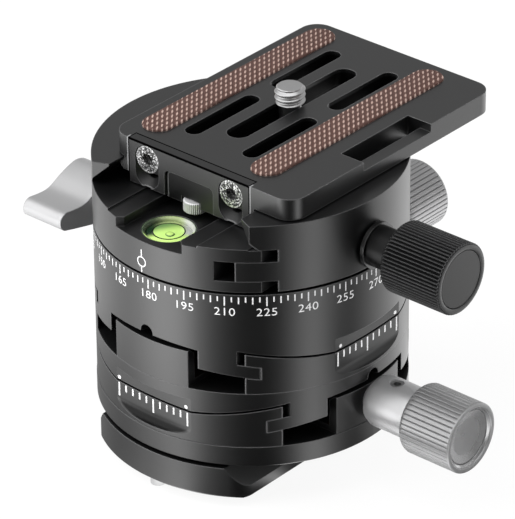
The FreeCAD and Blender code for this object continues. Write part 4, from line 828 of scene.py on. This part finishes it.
vial_outline = [(LEVEL_TOP - 0.0034, 0.0), (LEVEL_TOP - 0.0034, 0.0046), (LEVEL_TOP - 0.0008, 0.0046),
                (LEVEL_TOP - 0.00072, 0.0045), (LEVEL_TOP - 0.0006, 0.0040), (LEVEL_TOP - 0.00048, 0.0032),
                (LEVEL_TOP - 0.0004, 0.0022), (LEVEL_TOP - 0.00035, 0.0011), (LEVEL_TOP - 0.00034, 0.0)]
vial = spun("level_spirit", vial_outline, 96, level_place, spirit_green(), "clamp", sharp=50)
rim_outline = [(LEVEL_TOP - 0.0041, 0.0046), (LEVEL_TOP - 0.0041, 0.0055), (LEVEL_TOP - 0.00015, 0.0055),
               (LEVEL_TOP - 0.00004, 0.00545), (LEVEL_TOP, 0.0053), (LEVEL_TOP - 0.00003, 0.0051),
               (LEVEL_TOP - 0.00025, 0.00478), (LEVEL_TOP - 0.0007, 0.0046), (LEVEL_TOP - 0.0041, 0.0046)]
rim = spun("level_rim", rim_outline, 96, level_place, clear_rim(), "clamp", sharp=50)
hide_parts("level_vial")
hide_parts("level_ring")

BUBBLE_SPOT = (0.0011, LEVEL_Y - 0.0009)
BUBBLE_R = 0.00095


def bubble_clear():
    finish = Finish("bubble_clear")
    spot, x, y, z = finish.place()
    across = x - BUBBLE_SPOT[0]
    over = y - BUBBLE_SPOT[1]
    out = (across * across + over * over).root()
    edge = out.rise(BUBBLE_R * 0.62, BUBBLE_R * 0.98)
    colour = finish.mixed(edge, (0.42, 0.62, 0.16), (0.03, 0.08, 0.02))
    return finish.surface(base_color=colour, roughness=0.08 + 0.05 * edge, coat_weight=1.0, ior=1.4)


bubble_outline = [(LEVEL_TOP - 0.00045, 0.0), (LEVEL_TOP - 0.00042, BUBBLE_R),
                  (LEVEL_TOP - 0.00030, BUBBLE_R * 0.96), (LEVEL_TOP - 0.00020, BUBBLE_R * 0.80),
                  (LEVEL_TOP - 0.00012, BUBBLE_R * 0.5), (LEVEL_TOP - 0.0001, 0.0)]
spun("level_bubble", bubble_outline, 48,
     lambda along, across, over: (BUBBLE_SPOT[0] + across, BUBBLE_SPOT[1] + over, along),
     bubble_clear(), "clamp", sharp=60)


# Clamp knob
# Black anodised aluminium with sixty fine sharp ribs, a flat rim ring and a pressed-in flat cap; a
# bright steel ring sits where its neck meets the jaw.

CLAMP_RIBS = 60
CLAMP_AXIS_Z = 0.0524
FINE_GROOVE_DEPTH = 0.00042
FINE_TOP_SHARE = 0.22
FINE_START = 0.0394
FINE_END = 0.0535
CLAMP_GRIP_END = 0.0539
CLAMP_GRIP_INNER_R = 0.0065
CLAMP_KNOB_OUTLINE = [(0.0394, 0.0), (0.0394, 0.0041), (0.0394, 0.0060), (0.0394, 0.0069),
                      (0.03945, 0.0071), (0.0396, 0.00732), (0.0399, 0.0075), (0.0406, 0.0075),
                      (0.0440, 0.0075), (0.0525, 0.0075), (0.0534, 0.0075), (0.0536, 0.0075),
                      (0.05375, 0.00747), (0.05386, 0.00738), (0.0539, 0.0072), (0.0539, 0.0066),
                      (0.0539, 0.0062), (0.0539, 0.0061), (0.0526, 0.0061), (0.0526, 0.0)]
CLAMP_NECK_OUTLINE = [(0.0324, 0.0), (0.0324, 0.0041), (0.0326, 0.0043), (0.0391, 0.0043), (0.0394, 0.0042),
                      (0.0394, 0.0)]
END_RING = [(0.0539, 0.00715), (0.05398, 0.00715), (0.0540, 0.0071), (0.0540, 0.0062), (0.05397, 0.00614),
            (0.0539, 0.00612), (0.0539, 0.00715)]


def clamp_place(along, across, over):
    """The clamp knob's axis runs along +X through the jaw."""
    return (along, across, CLAMP_AXIS_Z + over)


def fine_rib(along, radius, angle):
    """Narrow rib tops between wider V grooves, fading out at both ends of the grip."""
    share = (angle * CLAMP_RIBS / (2 * pi)) % 1.0
    off = abs(share - 0.5) * 2
    groove = FINE_GROOVE_DEPTH * max(0.0, off - FINE_TOP_SHARE) / (1 - FINE_TOP_SHARE)
    shown = smooth((along - FINE_START) / 0.0008) * (1 - smooth((along - FINE_END) / 0.0004))
    on_grip = radius > CLAMP_GRIP_INNER_R and along < CLAMP_GRIP_END
    return radius - groove * shown if on_grip else radius


knob_black = black_satin("knob_black", tone=0.0018, roughness=0.3, turned_lines=0.2, edge=0.0001, ior=1.32)
clamp_knob = spun("clamp_ribbed_knob", CLAMP_KNOB_OUTLINE, CLAMP_RIBS * 12, clamp_place, knob_black,
                  "clamp_knob", fine_rib, sharp=25)
clamp_neck = spun("clamp_knob_neck", CLAMP_NECK_OUTLINE, 96, clamp_place, knob_black, "clamp_knob")
end_satin = black_satin("knob_end_black", edge_highlight_share=0.06)
end_ring = spun("clamp_knob_end_ring", END_RING, 96, clamp_place, end_satin, "clamp_knob",
                sharp=50)
for piece in (clamp_knob, end_ring, clamp_neck):
    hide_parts("clamp_knob")
wear(end_satin, "clamp_knob_cap")
wear(bright_steel("neck_ring_chrome", 0.17, 0.2), "clamp_knob_ring")


# Quick-release plate
# Black satin aluminium, milled with long slots, the camera screw's among them, and a strap bar at its
# right edge. A bar across its near end stops the camera's base from turning.

BACKSTOP_HALF = 0.0158
BACKSTOP_REAR_Y = -0.0165
JOINT_HALF = 0.00014
TONGUE_CORNER_X = 0.0051
TONGUE_CORNER_Z = 0.0621
TONGUE_CORNER_R = 0.00092


def backstop_joints(finish, x, y, z):
    """The open joint behind the backstop and at its two ends, and a painted shadow line along its top edge.
    """
    within = x.size().rise(0.01600, 0.01590)
    rear = y.band(BACKSTOP_REAR_Y, 0.00017) * within * z.rise(0.0660, 0.0662)
    ends = x.size().band(BACKSTOP_HALF, JOINT_HALF) * y.rise(-0.01632, -0.01638)
    # Painted shade: a dark line along the top front edge.
    edge = y.rise(-0.01855, -0.01862) * z.rise(0.06704, 0.06712) * within
    return rear.most(ends).most(edge)


def plate_joints(finish, x, y, z):
    """The same joints on the plate, painted shade deep inside its slots, and painted shade on the tongue in
    the backstop's window.
    """
    shade = x.size().rise(0.0129, 0.0125) * y.rise(-0.0152, -0.0148) * z.rise(0.0602, 0.0606)
    shade = 0.85 * shade * z.rise(0.0670, 0.0664)
    # Painted shade on the tongue, which is set back in the backstop's window.
    tongue = 0.45 * x.size().rise(0.0064, 0.0063) * y.rise(-0.0160, -0.0164) * z.rise(0.0634, 0.0633)
    return backstop_joints(finish, x, y, z).most(shade).most(tongue)


def plate_glints(finish, x, y, z):
    """Painted highlights along rounded edges: of the tongue in the backstop's window, and beside the
    backstop's ends.
    """
    out_x = (x.size() - TONGUE_CORNER_X).most(0.0)
    out_z = (z - TONGUE_CORNER_Z).most(0.0)
    out = (out_x * out_x + out_z * out_z).root()
    line = out.band(TONGUE_CORNER_R, 0.00016) * y.rise(-0.0176, -0.0180)
    side = x.size().band(0.01612, JOINT_HALF) * y.rise(-0.0176, -0.0180)
    return line.most(side)


wear(black_satin("plate_black", joints=plate_joints, glint=plate_glints), "quick_release_plate")
wear(black_satin("backstop_black", roughness=0.45, ior=1.68, joints=backstop_joints), "backstop")


# Grip strips
# Two moulded cork-rubber strips with round ends, glued in shallow seats: reddish brown, with raised,
# pale rows of short slanting strokes.

STRIP_HALF = 0.0034
STRIP_CENTRES = (-0.0149, 0.01385)
STRIP_NEAR = -0.0142
STRIP_FAR = 0.0423
STRIP_LOW = 0.0669
STRIP_TOP = 0.0680
STROKE_PITCH = 0.00098
STROKE_LENGTH = 0.00200
STROKE_SLOPE = 0.871


def brown_grip():
    finish = Finish("brown_grip")
    spot, x, y, z = finish.place()
    turn = 2 * pi / sqrt(1 + STROKE_SLOPE ** 2)
    across = (x + STROKE_SLOPE * y) * (turn / STROKE_PITCH)
    along = (STROKE_SLOPE * x - y) * (turn / STROKE_LENGTH)
    woven = (0.5 + 0.5 * across.cosine()) * (0.74 + 0.26 * (along + 0.5 * across).cosine())
    rough = finish.noise(spot, 1900.0, 3.0)
    stroke = (woven + 0.35 * (rough - 0.5)).rise(0.42, 0.88)
    brown = finish.mixed(rough, (0.030, 0.014, 0.011), (0.074, 0.036, 0.029))
    colour = finish.mixed(0.72 * stroke, brown, (0.40, 0.29, 0.25))
    normal = finish.relief(woven + 0.3 * rough, 0.00016, finish.rounded(0.0002), 0.8)
    return finish.surface(base_color=colour, roughness=0.62 + 0.15 * rough, normal=normal)


def strip_edge(x, inset, steps=24):
    """The strip's outline, two half rounds joined by straight sides, drawn in by inset."""
    r = STRIP_HALF - inset
    near = [(x + r * cos(pi + pi * k / steps), STRIP_NEAR + STRIP_HALF + r * sin(pi + pi * k / steps))
            for k in range(steps + 1)]
    far = [(x + r * cos(pi * k / steps), STRIP_FAR - STRIP_HALF + r * sin(pi * k / steps))
           for k in range(steps + 1)]
    return near + far


strip_points, strip_faces = [], []
for x in STRIP_CENTRES:
    rings = []
    for inset, z in ((0.0, STRIP_LOW), (0.0, STRIP_TOP - 0.0004), (0.00004, STRIP_TOP - 0.00022),
                     (0.00014, STRIP_TOP - 0.00008), (0.0003, STRIP_TOP)):
        edge = strip_edge(x, inset)
        rings.append(list(range(len(strip_points), len(strip_points) + len(edge))))
        strip_points += [(px, py, z) for px, py in edge]
    for low, high in zip(rings, rings[1:]):
        count = len(low)
        strip_faces += [(low[k], low[(k + 1) % count], high[(k + 1) % count], high[k]) for k in range(count)]
    strip_faces += [tuple(rings[0]), tuple(rings[-1])]
strips = make_piece("woven_grip_strips", strip_points, strip_faces, brown_grip(), "plate",
                    sharp=60)
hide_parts("grip_strips")


# Backstop and safety screws
# Bright countersunk socket screws hold the backstop; a knurled screw hangs under each end of the plate
# so that it can't slide out of the clamp.

HEAD_Z = 0.064
HEAD_X = 0.011


def pitted_steel():
    """Screw heads with a ring of shallow marks round a hexagon socket darkened with painted shade, and a dark
    band at the rim.
    """
    finish = Finish("screw_head")
    spot, x, y, z = finish.place()
    over = z - HEAD_Z
    across = x.size() - HEAD_X
    out = (across * across + over * over).root()
    ring = finish.noise(spot, 2300.0, 1.0).rise(0.47, 0.53) * out.rise(0.00115, 0.0013)
    pits = ring * out.rise(0.0027, 0.00255)
    # Painted shade darkens the socket; the marks and a band at the head's rim are darkened too.
    dark = pits.most(out.rise(0.0010, 0.00085)).most(out.rise(0.00285, 0.00295))
    specks = finish.noise(spot, 3100.0, 1.0).rise(0.5, 0.6)
    colour = finish.mixed(specks, (0.22, 0.22, 0.22), (0.75, 0.75, 0.75))
    colour = finish.mixed(0.92 * dark, colour, (0.02, 0.02, 0.02))
    normal = finish.relief(pits, 0.00006, finish.rounded(0.0001), 0.7)
    return finish.surface(base_color=colour, metallic=0.9, roughness=0.34 + 0.1 * pits, normal=normal)


wear(pitted_steel(), "backstop_screws")
safety_steel = bright_steel("safety_screw_steel", 0.55, 0.3, metal=0.4)
SAFETY_RIBS = 36
SAFETY_RIB_DEPTH = 0.00012
SAFETY_NECK_R = 0.0022
SAFETY_OUTLINE = [(0.0558, 0.0), (0.0558, 0.0021), (0.0560, 0.0024), (0.0562, 0.0024), (0.0579, 0.0024),
                  (0.0581, 0.0024), (0.0583, 0.0021), (0.0583, 0.0009), (0.0633, 0.0009), (0.0633, 0.0)]


def knurl(along, radius, angle):
    """Fine round ribs on the head only."""
    wave = 0.5 - 0.5 * cos(SAFETY_RIBS * angle)
    return radius - SAFETY_RIB_DEPTH * wave if radius > SAFETY_NECK_R else radius


for end, y in (("near", -0.0169), ("far", 0.0410)):
    screw = spun("safety_screw_" + end, SAFETY_OUTLINE, SAFETY_RIBS * 6,
                 lambda along, across, over, y=y: (across, y + over, along), safety_steel, "plate",
                 knurl)
    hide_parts("safety_screws")


# Camera screw
# A captive steel screw with a 1.27 mm thread above the plate and a round head in the pocket below, held
# by a black washer that slides along the slot.

CAMERA_SPOT = (-0.0003, 0.0125)
THREAD_PITCH = 0.00127
THREAD_DEPTH = 0.00062
THREAD_LOW = 0.0678
THREAD_TOP = 0.0717
THREAD_R = 0.003175
THREAD_RINGS = 64
SHANK_R = 0.0024


def thread_cut(along, radius, angle):
    """Radius of the thread's rounded crest and V root at this height and angle, thinned at both ends."""
    if along < THREAD_LOW - 1e-6 or radius < SHANK_R:
        return radius
    share = ((along - THREAD_LOW) / THREAD_PITCH - angle / (2 * pi)) % 1.0
    wave = abs(share - 0.5) * 2
    cut = THREAD_DEPTH * smooth(wave * 1.08)
    chamfer = THREAD_R - max(0.0, along - (THREAD_TOP - 0.0006)) * 1.1
    run_in = THREAD_R - max(0.0, THREAD_LOW + 0.0005 - along) * 1.7
    return min(THREAD_R - cut, chamfer, run_in)


thread_outline = [(0.0601, 0.0), (0.0601, 0.0046), (0.0602, 0.0047), (0.0626, 0.0047), (0.0627, 0.0046),
                  (0.0627, 0.0023), (0.0675, 0.0023), (0.06778, 0.0023)]
thread_outline += [(THREAD_LOW + (THREAD_TOP - THREAD_LOW) * k / THREAD_RINGS, THREAD_R)
                   for k in range(THREAD_RINGS + 1)]
thread_outline += [(THREAD_TOP, 0.0022), (THREAD_TOP, 0.0)]
camera_screw = spun("camera_thread", thread_outline, 120,
                    lambda along, across, over: (CAMERA_SPOT[0] + across, CAMERA_SPOT[1] + over, along),
                    bright_steel("screw_bright", 0.7, 0.26), "camera_screw", thread_cut, sharp=32)
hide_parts("camera_screw")
wear(knob_black, "camera_screw_washer")
